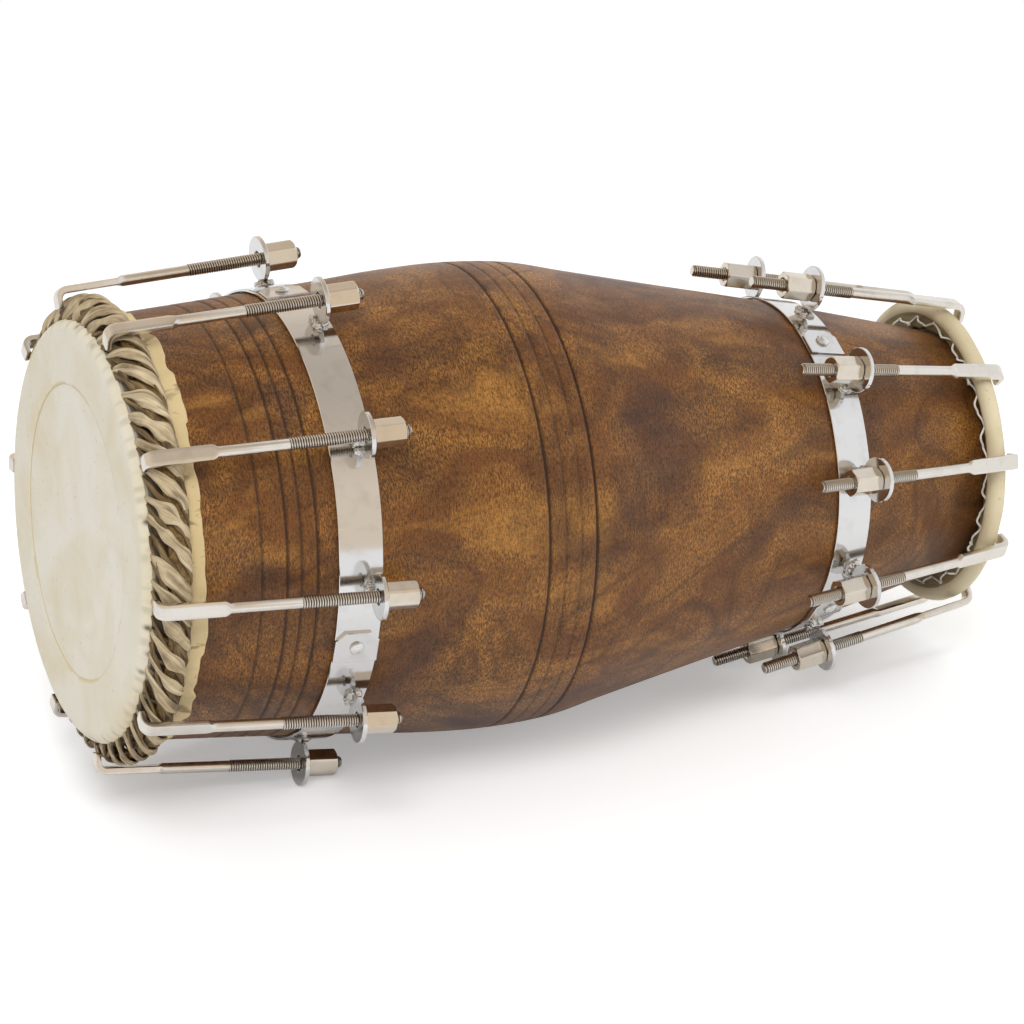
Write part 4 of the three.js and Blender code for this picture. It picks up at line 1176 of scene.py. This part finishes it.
def hook_bolt(side, fittings, sides=28):
    """A hook bolt: rings along its path from the tip over thread, shank and strap, round the bend to the hook's end.
    The thread is a helix: radius falls by a rounded V of the distance along less the angle's share of a turn."""
    bolt = BOLTS[side]
    a = np.linspace(0, 2 * np.pi, sides, endpoint=False)
    pitch, outer, shank = fittings.thread_pitch, fittings.thread_radius, fittings.shank_radius
    z = np.arange(-bolt["tip"], bolt["thread_to"], pitch / 5)
    phase = (z[:, None] / pitch - a[None, :] / (2 * np.pi)) % 1
    depth = THREAD_DEPTH * np.clip(np.abs(phase - 0.5) * 2.6 - 0.25, 0, 1)
    tip = 0.9 * (1 - np.clip((z + bolt["tip"]) / 1.2, 0, 1)[:, None])
    rings = [round_rod(0, -bolt["tip"], a)[None], round_rod(outer - np.maximum(depth, tip), z[:, None], a)]
    for height in (bolt["thread_to"] + 0.1, bolt["strap_from"] - 2.0, bolt["strap_from"]):
        rings.append(round_rod(shank, height, a)[None])
    width, thickness, bend_r, blend, leg, round_bar = 7.8, 3.6, 4.4, 3.2, 4.8, 2 * shank
    start = bolt["rod"] + 1.6 - bend_r
    end = math.pi / 2 - math.atan(bolt["rise"]) / 2

    def add_ring(section, along, turn=0.0, reach=0.0):
        """A section at a height, turned so far round the bend's centre and carried so far down the hook."""
        x, y = section
        out = (bend_r + y) * math.cos(turn) - bend_r - reach * math.sin(turn)
        rings.append(np.stack((x, out, along + (bend_r + y) * math.sin(turn) + reach * math.cos(turn)), 1)[None])

    for share in (0.2, 0.45, 0.7, 0.9, 1.0):
        s = share * share * (3 - 2 * share)
        wide, thick = round_bar + (width - round_bar) * s, round_bar + (thickness - round_bar) * s
        add_ring(rounded_bar(a, wide, thick, 2 + 5 * s), bolt["strap_from"] + blend * share)
    add_ring(rounded_bar(a, width, thickness, 8), start - 0.2)
    for share in np.linspace(0.08, 1, 12):
        section = rounded_bar(a, width - 0.4 * share, thickness - 0.4 * share, 8 - 2 * share)
        add_ring(section, start, share * end)
    for share, scale in ((0.5, 1.0), (0.85, 0.97), (0.97, 0.82), (1.0, 0.6), (1.0, 0.0)):
        add_ring(rounded_bar(a, 7.4 * scale, 3.0 * scale, 6), start, end, leg * share)
    return np.concatenate(rings)


class NAAL_OT_hook_bolts(bpy.types.Operator):
    """Forges the hook bolts with their rolled threads"""

    bl_idname = "naal.hook_bolts"
    bl_label = "Hook bolts"

    def execute(self, context):
        fittings = context.scene.naal.fittings
        for side in BOLTS:
            points = hook_bolt(side, fittings)
            start, end, outer = 0.4 - BOLTS[side]["tip"], BOLTS[side]["thread_to"], fittings.thread_radius

            def root(x, y, z):
                """How dark the thread is, for its oxide and as painted shade: its depth, between its tip and its end.
                """
                return np.clip((outer - 0.1 - np.hypot(x, y)) / 0.45, 0, 1) * ((z > start) & (z < end))

            for nut, matrix in bolt_frames(side):
                node = nut.replace("_nut_", "_hook_bolt_")
                piece = surface(f"{node}_forged", points, node, finish_of("bolt"), (False, True), matrix=matrix)
                smooth_by_angle(piece, 40.0)
                set_attribute(piece, "root", root, matrix)
                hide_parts(node)
        return {"FINISHED"}


def hexagon_nut(fittings, sides=60):
    """A long hexagon nut: at each height the radius is the hexagon's, cut by a cone at both ends; bored through."""
    flat, reach, bore = fittings.nut_across_flats / 2, fittings.nut_length, fittings.thread_radius + 0.25
    a = np.linspace(0, 2 * np.pi, sides, endpoint=False)
    hexagon = np.minimum(flat / np.cos((a + np.pi / 6) % (np.pi / 3) - np.pi / 6), flat * 1.135)
    end = np.array((0, 0.15, 0.3, 0.5, 0.8, 1.1))
    heights = np.concatenate((end, reach - end[::-1]))
    rows = [(z, np.minimum(hexagon, flat * 0.99 + 1.5 * min(z, reach - z))) for z in heights]
    rings = [(0.0, bore), *rows, (reach, bore + 0.5), (reach - 0.5, bore)]
    return np.stack([round_rod(r, -z - 1.5, a) for z, r in rings])


# how far each nut happens to be turned, in degrees, over and over along a side
NUT_TURNS = (30, 12, 38, 22, 50)


class NAAL_OT_nuts(bpy.types.Operator):
    """Cuts the long hexagon nuts"""

    bl_idname = "naal.nuts"
    bl_label = "Nuts"

    def execute(self, context):
        points = hexagon_nut(context.scene.naal.fittings)
        for side in BOLTS:
            for i, (nut, matrix) in enumerate(bolt_frames(side)):
                turn = np.array(Matrix.Rotation(math.radians(NUT_TURNS[i % len(NUT_TURNS)]), 4, "Z"))
                piece = surface(f"{nut}_cut", points, nut, finish_of("nickel"), (True, True), matrix=matrix @ turn)
                smooth_by_angle(piece, 20.0)
                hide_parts(nut)
        return {"FINISHED"}


OPERATORS = (
    NAAL_OT_stage,
    NAAL_OT_shell,
    NAAL_OT_bass_head,
    NAAL_OT_plait,
    NAAL_OT_treble_head,
    NAAL_OT_bands,
    NAAL_OT_hook_bolts,
    NAAL_OT_nuts,
)


class NAAL_PT_panel(bpy.types.Panel):
    """Lists the drum's pieces and settings"""

    bl_idname = "NAAL_PT_panel"
    bl_label = "Naal drum"
    bl_space_type = "VIEW_3D"
    bl_region_type = "UI"
    bl_category = "Naal"

    def draw(self, context):
        settings = context.scene.naal
        for group in (settings.shell, settings.heads, settings.fittings, settings.finishes):
            box = self.layout.box()
            for name in group.__annotations__:
                box.prop(group, name)
        for operator in OPERATORS:
            self.layout.operator(operator.bl_idname)


GROUPS = (ShellSizes, HeadSizes, FittingSizes, Finishes, NaalSettings)


def register():
    """Registers the settings, the operators and the panel."""
    for cls in (*GROUPS, *OPERATORS, NAAL_PT_panel):
        bpy.utils.register_class(cls)
    bpy.types.Scene.naal = PointerProperty(type=NaalSettings)


def unregister():
    """Takes them away again."""
    del bpy.types.Scene.naal
    for cls in reversed((*GROUPS, *OPERATORS, NAAL_PT_panel)):
        bpy.utils.unregister_class(cls)


def main():
    register()
    bpy.ops.naal.stage()
    bpy.ops.naal.shell()
    bpy.ops.naal.bass_head()
    bpy.ops.naal.plait()
    bpy.ops.naal.treble_head()
    bpy.ops.naal.bands()
    bpy.ops.naal.hook_bolts()
    bpy.ops.naal.nuts()


if __name__ == "__main__":
    main()
